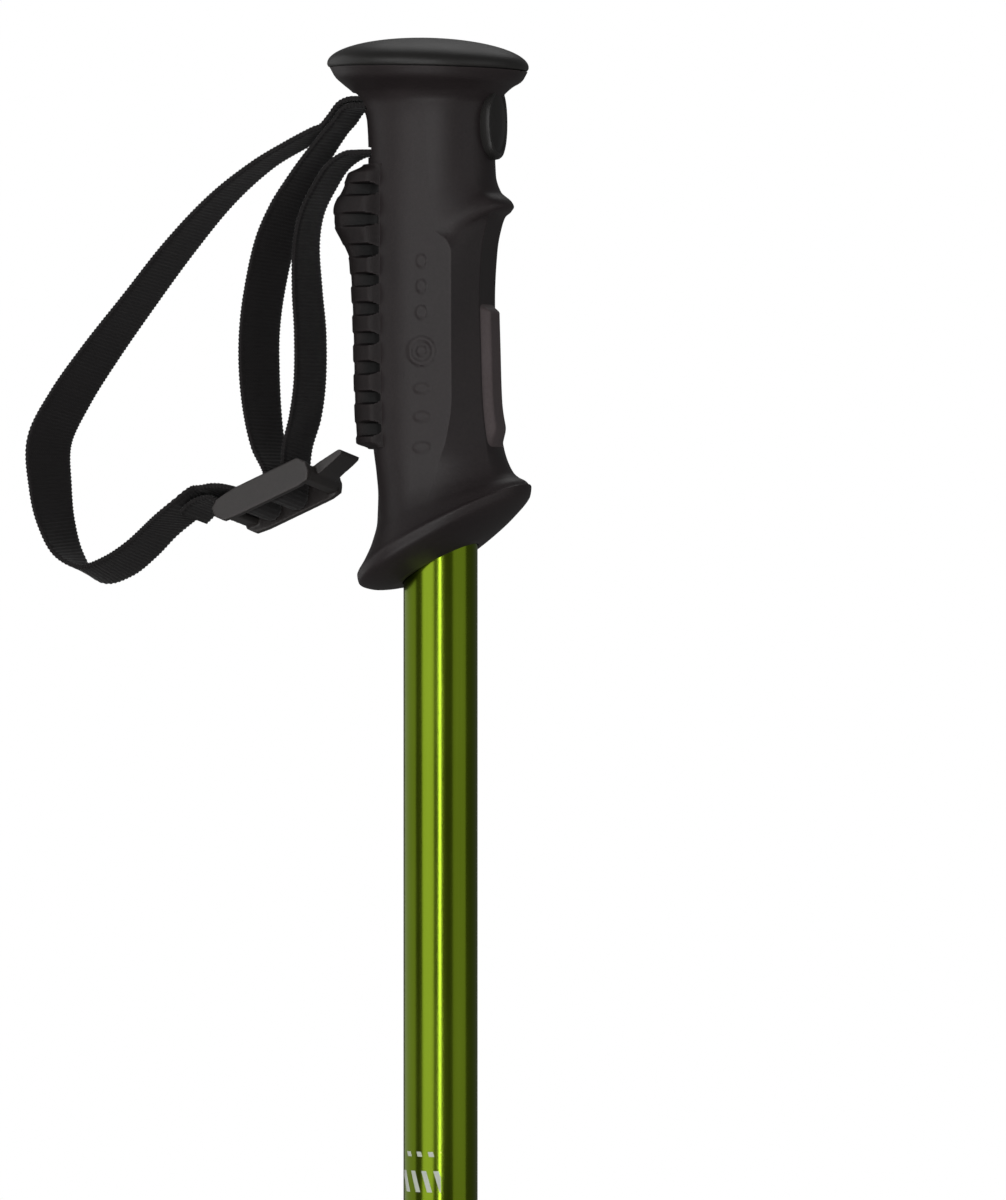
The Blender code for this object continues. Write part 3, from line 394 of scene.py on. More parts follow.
def finish_piece(name, bm, body, finish, nodes=()):
    """The object of a finished bmesh, riding on its body in place of the CAD nodes it stands for."""
    mesh = bpy.data.meshes.new(name)
    bm.to_mesh(mesh)
    bm.free()
    mesh.shade_smooth()
    mesh.set_sharp_from_angle(angle=SHARP)
    piece = bpy.data.objects.new(name, mesh)
    bpy.context.scene.collection.objects.link(piece)
    piece.data.materials.append(finish)
    if nodes:
        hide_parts(*nodes)
    if body:
        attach(piece, body)
    print(name, len(mesh.polygons), "faces")
    return piece


def rolled(rings, lengths=None, widths=None, painted_shade=None):
    """A closed skin through rings of points in millimetres: a grid, moved, welded and filled."""
    rings = np.asarray(rings) * MM
    rows, around = rings.shape[:2]
    lengths = np.arange(rows) if lengths is None else np.asarray(lengths)
    widths = np.arange(around + 1) if widths is None else np.asarray(widths)
    bm = bmesh.new()
    bmesh.ops.create_grid(bm, x_segments=around, y_segments=rows - 1, size=0.5)
    bm.verts.index_update()
    flat = bm.loops.layers.uv.new("UVMap")
    for face in bm.faces:
        for loop in face.loops:
            row, column = divmod(loop.vert.index, around + 1)
            loop[flat].uv = (widths[column] * MM, lengths[row] * MM)
    # An optional per-point mask of painted shade, stored on the mesh for the finish to read.
    shade_layer = bm.verts.layers.float.new("painted_shade") if painted_shade is not None else None
    for vert in bm.verts:
        row, column = divmod(vert.index, around + 1)
        vert.co = rings[row, column % around]
        if shade_layer:
            vert[shade_layer] = painted_shade[row, column % around]
    bmesh.ops.remove_doubles(bm, verts=bm.verts, dist=1e-8)
    bmesh.ops.holes_fill(bm, edges=[e for e in bm.edges if e.is_boundary], sides=0)
    bmesh.ops.recalc_face_normals(bm, faces=bm.faces)
    return bm


def step(value, low, high):
    """0 below low, 1 above high, and smooth between; low may be the larger."""
    share = np.clip((value - low) / (high - low), 0, 1)
    return share * share * (3 - 2 * share)


def hermite(start, end, start_lean, end_lean, width, t):
    """The cubic between two values with given slopes, a share t of the way along."""
    return (
        start * (2 * t ** 3 - 3 * t ** 2 + 1)
        + start_lean * width * (t ** 3 - 2 * t ** 2 + t)
        + end * (3 * t ** 2 - 2 * t ** 3)
        + end_lean * width * (t ** 3 - t ** 2)
    )


def smooth_columns(rows, at):
    """Columns of a table at new places, on curves that never swing past its rows."""
    rows = np.asarray(rows, float)
    x, y = rows[:, 0], rows[:, 1:]
    gap = np.diff(x)[:, None]
    slope = np.diff(y, axis=0) / gap
    safe = np.where(slope == 0, 1e-9, slope)
    near, far = 2 * gap[1:] + gap[:-1], gap[1:] + 2 * gap[:-1]
    lean = np.zeros_like(y)
    between = (near + far) / (near / safe[:-1] + far / safe[1:])
    lean[1:-1] = np.where(slope[:-1] * slope[1:] > 0, between, 0)
    lean[0], lean[-1] = slope[0], slope[-1]
    k = np.clip(np.searchsorted(x, at, side="right") - 1, 0, len(gap) - 1)
    t = np.clip((at - x[k]) / gap[k, 0], 0, 1)[..., None]
    return hermite(y[k], y[k + 1], lean[k], lean[k + 1], gap[k], t)


# %% [markdown]
# ## The grip's surface
# The grip swells into a head under the cap, has a shelf that the forefinger rests against, narrow
# sides with a flat cheek for the fingers, and a flared rim at the bottom. A table gives the front,
# back and side of each section. The shelf sweeps down towards the sides, so the front's rows are
# read a little late there.

# %% Grip table
FOOT_DROP = 127.8
FOOT_LEAN = 28.3
GRIP_SECTIONS = [
    # drop, front, back, side, facet, lean in degrees
    (7.9, 20.9, 27.1, 24.0, 0.0, -1.4), (10.2, 19.6, 25.8, 22.3, 0.0, -1.4),
    (11.7, 17.4, 24.2, 19.6, 0.0, -1.3), (13.6, 15.6, 21.8, 16.6, 0.0, -1.0),
    (16.2, 14.0, 19.6, 14.7, 0.0, 0.0), (20.5, 13.4, 18.2, 14.0, 0.1, 0.0),
    (27.0, 13.3, 17.9, 13.8, 0.1, 0.0), (33.5, 13.5, 17.9, 13.8, 0.2, 0.0),
    (37.5, 14.8, 17.9, 13.9, 0.3, 0.0), (40.0, 17.7, 17.9, 14.0, 0.3, 0.0),
    (41.2, 18.3, 17.9, 14.0, 0.3, 0.0), (42.1, 17.6, 17.9, 14.0, 0.5, 0.0),
    (43.3, 15.3, 17.9, 14.0, 0.8, 0.0), (46.5, 13.7, 17.9, 14.0, 1.0, 0.0),
    (52.0, 12.7, 17.9, 14.0, 1.0, 0.0), (63.5, 12.1, 17.8, 14.0, 1.0, 0.0),
    (76.0, 12.4, 17.6, 13.9, 1.0, 0.0), (88.0, 12.8, 17.3, 13.7, 1.0, 0.0),
    (98.0, 14.4, 16.6, 13.7, 0.8, 3.0), (104.0, 16.2, 15.6, 13.9, 0.5, 7.0),
    (109.0, 17.9, 15.0, 14.8, 0.3, 12.0), (113.0, 19.5, 15.0, 16.2, 0.1, 18.0),
    (116.5, 21.2, 16.2, 18.0, 0.0, 23.0), (119.2, 22.1, 18.3, 19.6, 0.0, 26.0),
    (120.5, 22.4, 20.0, 20.5, 0.0, 28.0), (122.3, 22.2, 19.7, 20.2, 0.0, 28.2),
    (124.9, 18.8, 17.0, 17.2, 0.0, FOOT_LEAN), (126.8, 14.4, 13.4, 13.4, 0.0, FOOT_LEAN),
    (FOOT_DROP, 10.9, 10.9, 10.9, 0.0, FOOT_LEAN),
]
WIDEST_BACK = 2.5
FRONT_FLAT = 5.5
CHEEK_CORNER = 7.6
CHEEK_INSET = 0.7
CHEEK_SHARE = 0.8
FLAT_TURN = 3 * math.tau / 32
SHELF_SWEEP = 6.5
SHELF_SPAN = (33, 37)
SHELF_FADE = (82, 62)
SHELF_TURNS = (math.radians(28), math.radians(88))


def grip_outline(drop, turn):
    """X and Y of the grip in millimetres, for arrays of drops and turns (0 in front, pi behind)."""
    size = np.abs(np.arctan2(np.sin(turn), np.cos(turn)))
    window = step(drop, *SHELF_SPAN) * step(drop, *SHELF_FADE)
    late = SHELF_SWEEP * step(size, *SHELF_TURNS) * window
    front_rows = smooth_columns(GRIP_SECTIONS, drop - late)
    rows = smooth_columns(GRIP_SECTIONS, drop)
    front, back, side, facet = front_rows[..., 0], rows[..., 1], rows[..., 2], front_rows[..., 3]
    reach = np.where(np.cos(turn) > 0, front + WIDEST_BACK, back - WIDEST_BACK)
    x = -WIDEST_BACK + reach * np.cos(turn)
    y = side * np.sin(turn)
    share = (size - FLAT_TURN) / (math.pi / 2 - FLAT_TURN)
    cheek = np.clip(share / CHEEK_SHARE, 0, 1)
    shoulder = np.clip((share - CHEEK_SHARE) / (1 - CHEEK_SHARE), 0, 1)
    flat_x = front + (CHEEK_CORNER - front) * cheek + (-WIDEST_BACK - CHEEK_CORNER) * shoulder
    flat_y = np.where(
        share < 0,
        FRONT_FLAT * size / FLAT_TURN,
        FRONT_FLAT + (side - CHEEK_INSET - FRONT_FLAT) * cheek + CHEEK_INSET * shoulder,
    )
    facet = np.where(np.cos(turn) > 0, facet, 0)
    x = x + (flat_x - x) * facet
    y = y + (flat_y * np.sign(np.sin(turn)) - y) * facet
    return x, y, rows[..., 4]


def on_grip(drop, turn, lift=0.0):
    """Points on the grip, or lift above it, in millimetres in the pole's frame."""
    drop, turn = np.broadcast_arrays(np.asarray(drop, float), np.asarray(turn, float))
    nudge = 0.02
    x, y, lean = grip_outline(drop, turn)
    ahead, behind = grip_outline(drop, turn + nudge), grip_outline(drop, turn - nudge)
    along = np.stack([ahead[0] - behind[0], ahead[1] - behind[1]], -1)
    along /= np.linalg.norm(along, axis=-1, keepdims=True)
    x, y = x + along[..., 1] * lift, y - along[..., 0] * lift
    return np.stack([x, y, TOP - drop + x * np.tan(np.radians(lean))], -1)


# %% Grip skin
SKIN_COLUMNS = 180
SKIN_ROW = 0.42
FINE_TURNS = (78.2, 90.6, 0.45)
SLOTS = ((15.6, 1.9), (27.8, 1.25))
SLOT_HALF_WIDTH = 8.1
SLOT_DEPTH = 6.0
PIPS = [
    # drop, half length, half height
    (54.6, 1.3, 1.7), (60.7, 1.3, 1.7), (67.0, 1.5, 1.7), (85.4, 2.1, 1.3), (92.2, 2.1, 1.3),
    (99.6, 2.3, 1.3),
]
PIP_X = 0.2
PIP_HEIGHT = 0.34
RING_DROP = 76.4
RING_RADIUS = 3.0
SIDE_FROM_MIDDLE = 8
PAD_RECESS_TURN, PAD_RECESS_DEPTH = math.radians(53.5), 2.4
PAD_RECESS_MIDDLE, PAD_RECESS_HALF = 64.8, 33.2

drops = set(np.arange(GRIP_SECTIONS[0][0], FOOT_DROP, SKIN_ROW))
for middle, half in SLOTS:
    for edge in (middle - half, middle + half):
        drops = {d for d in drops if abs(d - edge) > 0.25} | {edge - 0.1, edge + 0.1}
drops = np.array(sorted(drops | {FOOT_DROP}))[:, None]
even = np.arange(SKIN_COLUMNS) * math.tau / SKIN_COLUMNS
fine = np.radians(np.arange(*FINE_TURNS))
turns = np.unique(np.concatenate([even, fine, math.tau - fine]))[None, :]
plain = on_grip(drops, turns)
beside = (np.abs(plain[..., 1]) > SIDE_FROM_MIDDLE) & (np.cos(turns) < 0.9)
height = np.zeros_like(plain[..., 0])
for pip_drop, half_length, half_height in PIPS:
    away = np.hypot((plain[..., 0] - PIP_X) / half_length, (drops - pip_drop) / half_height)
    height = np.maximum(height, step(away, 1.15, 0.75))
circle = np.hypot(plain[..., 0] - PIP_X, drops - RING_DROP)
height = np.maximum(height, step(np.abs(circle - RING_RADIUS), 0.75, 0.35))
height = np.maximum(height, step(circle, 1.5, 1.0))
skin = on_grip(drops, turns, np.where(beside, height * PIP_HEIGHT, 0))
for middle, half in SLOTS:
    inside = (np.abs(drops - middle) < half) & (np.abs(plain[..., 1]) < SLOT_HALF_WIDTH)
    inside = inside & (np.cos(turns) < 0)
    skin[..., 0] += np.where(inside, SLOT_DEPTH, 0)
pad_seat = np.abs(turns - math.pi) < PAD_RECESS_TURN
pad_seat = pad_seat & (np.abs(drops - PAD_RECESS_MIDDLE) < PAD_RECESS_HALF)
skin = np.where(pad_seat[..., None], on_grip(drops, turns, -PAD_RECESS_DEPTH), skin)
SOCKET_RADIUS = 9.25
SOCKET_DEPTH = 4.0
lip = np.stack([np.cos(turns[0]), np.sin(turns[0])], -1) * SOCKET_RADIUS
flare = math.tan(math.radians(FOOT_LEAN))
lip_low = np.column_stack([lip, TOP - FOOT_DROP + lip[:, 0] * flare])
lip_high = lip_low + (0, 0, SOCKET_DEPTH)
skin = np.concatenate([skin, [lip_low, lip_high]])
finish_piece("grip_skin", rolled(skin), "pole", grip_rubber, ["grip_body"])

# %% [markdown]
# ## The cap
# The cap is turned in one go: half of its outline is drawn, and spin sweeps it round. A shallow
# groove runs round it where the two halves of its mould met.

# %% Cap
CAP_RADIUS = 24.5
CAP_DOME = 6.7
CAP_TILT = math.radians(1.4)
CAP_BACK = 3.1
CAP_STEPS = 144
CAP_SINK = 0.06
DOME_POINTS = 28


def spun(profile, steps):
    """A solid of revolution about Z from (radius, height) points that start and end on the axis."""
    bm = bmesh.new()
    points = [bm.verts.new((r * MM, 0, z * MM)) for r, z in profile]
    edges = [bm.edges.new(pair) for pair in zip(points, points[1:])]
    bmesh.ops.spin(
        bm, geom=points + edges, axis=(0, 0, 1), cent=(0, 0, 0), angle=math.tau, steps=steps, use_merge=True
    )
    bmesh.ops.remove_doubles(bm, verts=bm.verts, dist=1e-7)
    bmesh.ops.recalc_face_normals(bm, faces=bm.faces)
    return bm


profile = []
for k in range(DOME_POINTS + 1):
    t = math.pi / 2 * k / DOME_POINTS
    profile.append((CAP_RADIUS * math.sin(t), -CAP_DOME * (1 - math.cos(t))))
profile += [(CAP_RADIUS - 0.05, -CAP_DOME - 0.35), (CAP_RADIUS - 0.3, -CAP_DOME - 0.75)]
profile += [(CAP_RADIUS - 0.7, -CAP_DOME - 0.95), (CAP_RADIUS - 1.1, -CAP_DOME - 0.95)]
profile += [(CAP_RADIUS - 1.1, -CAP_DOME - 1.6), (0, -CAP_DOME - 1.6)]
bm = spun(profile, CAP_STEPS)
bmesh.ops.transform(bm, verts=bm.verts, matrix=Matrix.Rotation(CAP_TILT, 4, "Y"))
bmesh.ops.translate(bm, verts=bm.verts, vec=(-CAP_BACK * MM, 0, TOP * MM - CAP_SINK * MM))
finish_piece("cap", bm, "pole", cap_nylon, ["grip_cap"])

# %% [markdown]
# ## Palm pad, finger pad and badge
# The pads are softer rubber moulded over the grip. The palm pad is thick at the back with short
# rounded notches down each side, so the hand's sweat can run off. Both pads are skins whose outer
# face stands above the grip and whose inner face is sunk a little into it, so no gap shows.

# %% Palm pad
PALM_TOP, PALM_BOTTOM = 30.8, 98.8
PALM_SWELL = [
    # drop, thickness at the back
    (PALM_TOP, 4.2), (36.0, 6.2), (41.8, 8.7), (44.5, 8.7), (50.0, 6.3), (54.5, 4.6), (76.0, 3.9),
    (PALM_BOTTOM, 4.0),
]
PALM_COLUMNS = 96
PALM_ROW = 0.27
PALM_HALF_TURN = 5 * math.tau / 32
PALM_EDGE = 1.7
PALM_HALF_WIDTH = 15.5
NOTCHES = [36.9, 44.3, 51.8, 58.9, 65.9, 73.1, 80.2, 87.4, 94.6]
NOTCH_HALF = 1.55
NOTCH_DEPTH = 3.6
NOTCH_FLOOR = -1.7
NOTCH_REACH = 2.4
BACK_GROOVE = 0.28
SUNK = -2.2
LAID = 0.3
EDGE_SUNK = -0.6
INNER_COLUMNS = 9


def pad_skin(drops, middle, half_turn, columns, thickness):
    """A pad's rings: its outer face from one side to the other, and back along its sunk inner face."""
    share = np.linspace(-1, 1, columns)[None, :]
    drops = np.asarray(drops)[:, None]
    turns = middle + half_turn * share
    outer = on_grip(drops, turns, LAID + thickness(drops, share))
    inner = on_grip(drops, (middle + half_turn * np.linspace(1, -1, INNER_COLUMNS))[None, :], SUNK)
    return np.concatenate([outer, inner], axis=1)


def notch_shape(drops, share):
    """1 inside the rounded notches of each side and 0 between them."""
    arc = (1 - np.abs(share)) * PALM_HALF_WIDTH
    inward = np.maximum(0, NOTCH_REACH - arc)
    nearest = np.min([np.hypot(inward, drops - notch) for notch in NOTCHES], axis=0)
    return step(nearest, NOTCH_HALF + 0.25, NOTCH_HALF - 0.3)


def palm_thickness(drops, share):
    """How far the palm pad's face stands above the grip: swollen at the top, thin at its edges."""
    away = np.abs(share)
    swell = smooth_columns(PALM_SWELL, drops[:, 0])
    thick = swell + (PALM_EDGE - swell) * away ** 2
    thick = EDGE_SUNK + (thick - EDGE_SUNK) * step(away, 1.0, 0.86)
    depth = BACK_GROOVE + (NOTCH_DEPTH - BACK_GROOVE) * step(away, 0.48, 0.76)
    cut = notch_shape(drops, share) * depth
    ends = step(drops, PALM_TOP + 2.2, PALM_TOP) + step(drops, PALM_BOTTOM - 1.4, PALM_BOTTOM)
    return np.maximum(thick * (1 - 0.75 * ends) - cut, NOTCH_FLOOR)


palm_drops = np.append(np.arange(PALM_TOP, PALM_BOTTOM, PALM_ROW), PALM_BOTTOM)
rings = pad_skin(palm_drops, math.pi, PALM_HALF_TURN, PALM_COLUMNS, palm_thickness)
share = np.linspace(-1, 1, PALM_COLUMNS)[None, :]
# A mask of painted shade: the notches down the pad's sides, where shade falls, are painted near black.
cut = notch_shape(palm_drops[:, None], share) * step(np.abs(share), 0.5, 0.68)
palm_painted_shade = np.concatenate([cut, np.zeros((len(palm_drops), INNER_COLUMNS))], axis=1)
bm = rolled(rings, painted_shade=palm_painted_shade)
finish_piece("palm_cushion", bm, "pole", pad_rubber, ["palm_pad"])

# %% Finger pad
FINGER_TOP, FINGER_BOTTOM = 64.6, 101.5
FINGER_HALF_TURN = 3 * math.tau / 32
FINGER_THICK = 1.7
FINGER_SUNK = 0.4
FINGER_COLUMNS = 40
FINGER_ROW = 0.3


def finger_thickness(drops, share):
    """How far the finger pad's face stands above the grip, falling under it at its edges."""
    rim = step(np.abs(share), 0.55, 1.0)
    ends = step(drops, FINGER_TOP + 2.4, FINGER_TOP) + step(drops, FINGER_BOTTOM - 7.0, FINGER_BOTTOM)
    return (FINGER_THICK + FINGER_SUNK) * (1 - rim) * (1 - ends) - FINGER_SUNK


finger_drops = np.append(np.arange(FINGER_TOP, FINGER_BOTTOM, FINGER_ROW), FINGER_BOTTOM)
rings = pad_skin(finger_drops, 0.0, FINGER_HALF_TURN, FINGER_COLUMNS, finger_thickness)
finish_piece("finger_strip", rolled(rings), "pole", finger_rubber, ["finger_pad"])

# %% Badge
BADGE_DROP, BADGE_HEIGHT, BADGE_WIDTH = 20.9, 18.0, 11.4
BADGE_BOW = 1.1
BADGE_POINTS = 96
HEAD_HALF_WIDTH = 14.0
BADGE_SHELLS = [
    # share of the oval's size, height above the grip
    (0.6, -1.4), (0.99, -1.4), (1.0, 0.3), (1.0, 1.5), (0.985, 2.2), (0.95, 2.55), (0.9, 2.6),
    (0.86, 2.5), (0.83, 2.2), (0.8, 2.0), (0.7, 2.02), (0.5, 2.08), (0.3, 2.1), (0.12, 2.12), (0.03, 2.12),
]
around = np.arange(BADGE_POINTS) * math.tau / BADGE_POINTS
half_angle = math.asin(BADGE_WIDTH / 2 / HEAD_HALF_WIDTH)
rings = []
for size, lift in BADGE_SHELLS:
    ring = on_grip(BADGE_DROP, half_angle * size * np.cos(around), LAID + lift)
    rise = size * np.sin(around)
    ring[:, 2] -= BADGE_HEIGHT / 2 * rise
    ring[:, 0] -= BADGE_BOW * rise ** 2
    rings.append(ring)
finish_piece("badge_plate", rolled(rings), "pole", cap_nylon, ["front_badge"])

# %% [markdown]
# ## The strap
# The strap is polyester webbing 15 mm wide, woven with strong ribs across it. It is far too thin
# and narrow for a cloth simulation to keep, so it is modelled directly: a route gives its middle
# line and twist, and a narrow section with rounded edges is carried along it four steps to a rib,
# swelling and thinning with each one. One band goes round the wrist and through the buckle; the
# other is doubled from the head down to the buckle's fixed bar.

# %% Routes
STRAP_WIDTH, STRAP_THICK = 15.0, 1.3
BUCKLE_AT = np.array([-39.8, -2.0, TOP - 110.4])
BUCKLE_PITCH, BUCKLE_ROLL = math.radians(24), math.radians(-10)
buckle_turn = np.array(Matrix.Rotation(-BUCKLE_PITCH, 3, "Y") @ Matrix.Rotation(BUCKLE_ROLL, 3, "X"))
buckle_across = buckle_turn @ (0, 1, 0)

LOOP_FAR = (-100.9, 117.4)
WRIST_START = [
    # distance along X, sideways place, drop below the top, twist in degrees
    (-3.8, 0, 16.85, 0), (-7.0, 0, 16.85, 0), (-12.9, 0, 14.9, 0), (-19.2, 0, 14.8, 0),
    (-21.5, 0, 14.9, 0), (-23.85, 0, 16.0, 0), (-26.2, 0, 18.85, 0), (-28.4, 0, 21.25, 0),
]
WRIST_LOOP = [
    (-30.5, 0, 22.0, 0), (-37.2, 0, 25.2, 0), (-46.5, 0, 30.3, 0), (-57.3, 0, 38.7, 4),
    (-68.2, 0, 50.1, 9), (-79.0, 0, 63.2, 12), (-89.3, 0, 76.0, 17), (-97.5, 0, 87.4, 21),
    (-102.7, 0, 97.6, 23), (-102.4, 0, 109.0, 20), (LOOP_FAR[0], 0, LOOP_FAR[1], 14),
    (-97.5, 0, 125.2, 4), (-91.3, 0, 130.0, -14),
    (-84.6, 0, 128.3, -17), (-78.2, 0, 124.0, -14), (-72.8, 0, 119.1, -12), (-65.5, -1.6, 113.9, -13),
]
SHORT_NECK = [
    (-19.2, 0, 16.4, 0), (-20.95, 0, 16.4, 0), (-22.95, 0, 17.3, 0), (-25.0, 0, 19.95, 0),
    (-27.3, 0, 22.4, 0),
]
SHORT_OUTER = [
    (-32.6, 0, 29.3, 4), (-36.2, 0, 35.1, 10), (-39.8, 0, 41.4, 15), (-43.2, 0, 49.6, 18),
    (-46.0, 0, 61.7, 18), (-47.2, 0, 71.4, 18), (-47.2, 0, 81.1, 18), (-46.4, 0, 90.8, 15),
    (-44.7, -0.6, 99.0, 10),
]
SHORT_INNER = [
    (-37.0, -0.6, 99.0, -6), (-35.2, 0, 91.8, -8), (-34.0, 0, 83.1, -8), (-33.9, 0, 71.4, -8),
    (-34.7, 0, 60.5, -6), (-34.9, 0, 49.6, -2), (-33.4, 0, 41.9, 0), (-30.0, 0, 35.4, 0),
    (-26.7, 0, 30.8, 0), (-22.4, 0, 28.1, 0), (-19.2, 0, 27.8, 0), (-12.9, 0, 27.5, 0),
]


def rows_of(table):
    """Rows of (x, y, z, twist in radians) from a table of drops and degrees."""
    return [np.array([x, y, TOP - drop, math.radians(twist)]) for x, y, drop, twist in table]


def unit(vector):
    return vector / np.linalg.norm(vector)


def twist_of(run, across):
    """The twist that turns the band's width from level to the given direction."""
    level = unit(np.array([0, 1, 0]) - run * run[1])
    across = unit(across - run * run.dot(across))
    return math.atan2(np.cross(level, across).dot(run), level.dot(across))


def in_buckle(x, z):
    """A point in the buckle's own tilted frame, whose origin is its fixed bar."""
    return BUCKLE_AT + buckle_turn @ (x, 0, z)


def level_in_buckle(x, z):
    """A point beside the fixed bar, given level and upright."""
    cos, sin = math.cos(BUCKLE_PITCH), math.sin(BUCKLE_PITCH)
    return in_buckle(x * cos + z * sin, z * cos - x * sin)


def with_twists(points):
    """Rows whose width lies along the buckle's bars."""
    made = []
    for k, point in enumerate(points):
        run = unit(points[min(k + 1, len(points) - 1)] - points[max(k - 1, 0)])
        made.append(np.array([*point, twist_of(run, buckle_across)]))
    return made


def curve_through(rows, spacing):
    """Rows about a spacing apart on a Hermite curve through the given rows."""
    rows = np.array(rows)
    gaps = np.linalg.norm(np.diff(rows[:, :3], axis=0), axis=1)
    slopes = np.diff(rows, axis=0) / gaps[:, None]
    lean = np.concatenate([
        slopes[:1],
        (slopes[:-1] * gaps[:-1, None] + slopes[1:] * gaps[1:, None]) / (gaps[:-1] + gaps[1:])[:, None],
        slopes[-1:],
    ])
    place = np.concatenate([[0], np.cumsum(gaps)])
    at = np.linspace(0, place[-1], int(place[-1] / spacing) + 1)
    k = np.clip(np.searchsorted(place, at, side="right") - 1, 0, len(gaps) - 1)
    t = ((at - place[k]) / gaps[k])[:, None]
    return hermite(rows[k], rows[k + 1], lean[k], lean[k + 1], gaps[k][:, None], t)


ARC_STEPS = 8
LOCK_X, LOCK_Z, LOCK_BEND = -7.4, 0.3, 2.25
LOCK_FROM, LOCK_TO = 0.62, -0.96
ENTRY_LEAD = 2.2
threaded = [level_in_buckle(x, z) for x, z in ((-19.4, 0.4), (-17.0, 0.8), (-14.0, 0.7), (-11.0, 0.1))]
for k in range(ARC_STEPS + 1):
    t = math.pi * (LOCK_FROM + (LOCK_TO - LOCK_FROM) * k / ARC_STEPS)
    threaded.append(in_buckle(LOCK_X + LOCK_BEND * math.cos(t), LOCK_Z + LOCK_BEND * math.sin(t)))
threaded += [in_buckle(-11.5, 2.0), in_buckle(-14.7, 2.55)]
threaded += [level_in_buckle(x, z) for x, z in ((-17.8, -2.1), (-21.4, -3.2), (-24.4, -5.8))]
entry_run = unit(threaded[1] - threaded[0])
entry = [np.array([*(threaded[0] - entry_run * ENTRY_LEAD), twist_of(entry_run, buckle_across)])]
wrist_rows = rows_of(WRIST_START + WRIST_LOOP) + entry + with_twists(threaded)

PIN_BACK, PIN_DROP, FOLD_RADIUS = 6.0, 21.6, 2.95
FOLD_TURN = math.pi * 0.6


def fold_rows(start, end):
    """Table rows round the pin in the head, from one turn to another."""
    found = []
    for k in range(ARC_STEPS + 1):
        t = start + (end - start) * k / ARC_STEPS
        found.append((-PIN_BACK + FOLD_RADIUS * math.cos(t), 0, PIN_DROP - FOLD_RADIUS * math.sin(t), 0))
    return found


BAR_BEND = 2.45
BIGHT_LEAD = 5.0
bight = []
for k in range(ARC_STEPS + 1):
    t = math.pi - BUCKLE_PITCH + math.pi * k / ARC_STEPS
    point = in_buckle(BAR_BEND * math.cos(t), BAR_BEND * math.sin(t))
    run = buckle_turn @ (-math.sin(t), 0, math.cos(t))
    bight.append((point, run, twist_of(run, buckle_across)))
short_rows = rows_of(fold_rows(0, FOLD_TURN) + [(-12.9, 0, 16.5, 0)] + SHORT_NECK + SHORT_OUTER)
short_rows.append(np.array([*(bight[0][0] - bight[0][1] * BIGHT_LEAD), bight[0][2]]))
short_rows += [np.array([*point, twist]) for point, _, twist in bight]
short_rows.append(np.array([*(bight[-1][0] + bight[-1][1] * BIGHT_LEAD), bight[-1][2]]))
short_rows += rows_of(SHORT_INNER + fold_rows(-FOLD_TURN, 0))

# %% Webbing skins
STATION = 0.2375
FACE_COLUMNS = 12
RIB_HEIGHT = 0.085
EDGE_SERRATION = 0.09
EDGE_ROUND = 0.62
FACE_SHARE = 0.965
CORNER_THINNED = 0.9
SIDE_SHRINK, FACE_SHRINK = 0.08, 0.02


def webbing_rings(path):
    """Rings of a narrow rounded section along a path, swelling at each rib, with its flat sizes."""
    points = path[:, :3]
    run = np.gradient(points, axis=0)
    run /= np.linalg.norm(run, axis=1, keepdims=True)
    level = np.array([0, 1, 0]) - run * run[:, 1:2]
    level /= np.linalg.norm(level, axis=1, keepdims=True)
    side = np.cross(run, level)
    twist = path[:, 3:4]
    across = level * np.cos(twist) + side * np.sin(twist)
    up = np.cross(run, across)
    steps = np.linalg.norm(np.diff(points, axis=0), axis=1)
    along = np.concatenate([[0], np.cumsum(steps)])
    wave = np.cos(along * math.tau / RIB_PITCH)
    u = np.linspace(-1, 1, FACE_COLUMNS) * FACE_SHARE
    section = [(a, 1.0) for a in u] + [(1.0, EDGE_ROUND), (1.0, -EDGE_ROUND)]
    section += [(a, -1.0) for a in u[::-1]] + [(-1.0, -EDGE_ROUND), (-1.0, EDGE_ROUND)]
    half_width = STRAP_WIDTH / 2 + EDGE_SERRATION * wave - SIDE_SHRINK
    half_thick = STRAP_THICK / 2 + RIB_HEIGHT * wave - FACE_SHRINK
    rings = []
    for a, b in section:
        thin = CORNER_THINNED if abs(abs(a) - FACE_SHARE) < 1e-9 and abs(b) == 1.0 else 1.0
        rings.append(points + across * (a * half_width)[:, None] + up * (b * thin * half_thick)[:, None])
    lap = [(a + 1) * STRAP_WIDTH / 2 for a, _ in section] + [0]
    return np.stack(rings, axis=1), along, lap


wrist_path = curve_through(wrist_rows, STATION)
wrist, wrist_along, lap = webbing_rings(wrist_path)
from_far = np.abs(wrist_path[:, 0] - LOOP_FAR[0]) + np.abs(wrist_path[:, 2] - TOP + LOOP_FAR[1])
joint_row = int(np.argmin(from_far))
print("wrist band", round(wrist_along[-1], 1), "mm long")

bm = rolled(wrist[: joint_row + 1], wrist_along[: joint_row + 1], lap)
replaced = ["wrist_band_root", "wrist_band_neck", "wrist_band"]
wrist_upper = finish_piece("wrist_strap_upper", bm, None, webbing, replaced)
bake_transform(wrist_upper)

bm = rolled(wrist[joint_row:], wrist_along[joint_row:], lap)
wrist_lower = finish_piece("wrist_strap_lower", bm, None, webbing, ["threaded_band"])
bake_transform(wrist_lower)

short_path = curve_through(short_rows, STATION)
short, short_along, _ = webbing_rings(short_path)
print("short band", round(short_along[-1], 1), "mm long")
bm = rolled(short, short_along, lap)
replaced = ["short_band_fold", "short_band_neck", "short_band"]
short_strap = finish_piece("short_strap", bm, None, webbing, replaced)
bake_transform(short_strap)

# %% [markdown]
# ## The ladder buckle and the basket
# Both are single mouldings with every edge softened by the mould. Their solids already have the
# right shape with hard edges, so a copy of each is welded, rebuilt as an even skin of small faces
# and relaxed, which rounds the edges as moulding does.

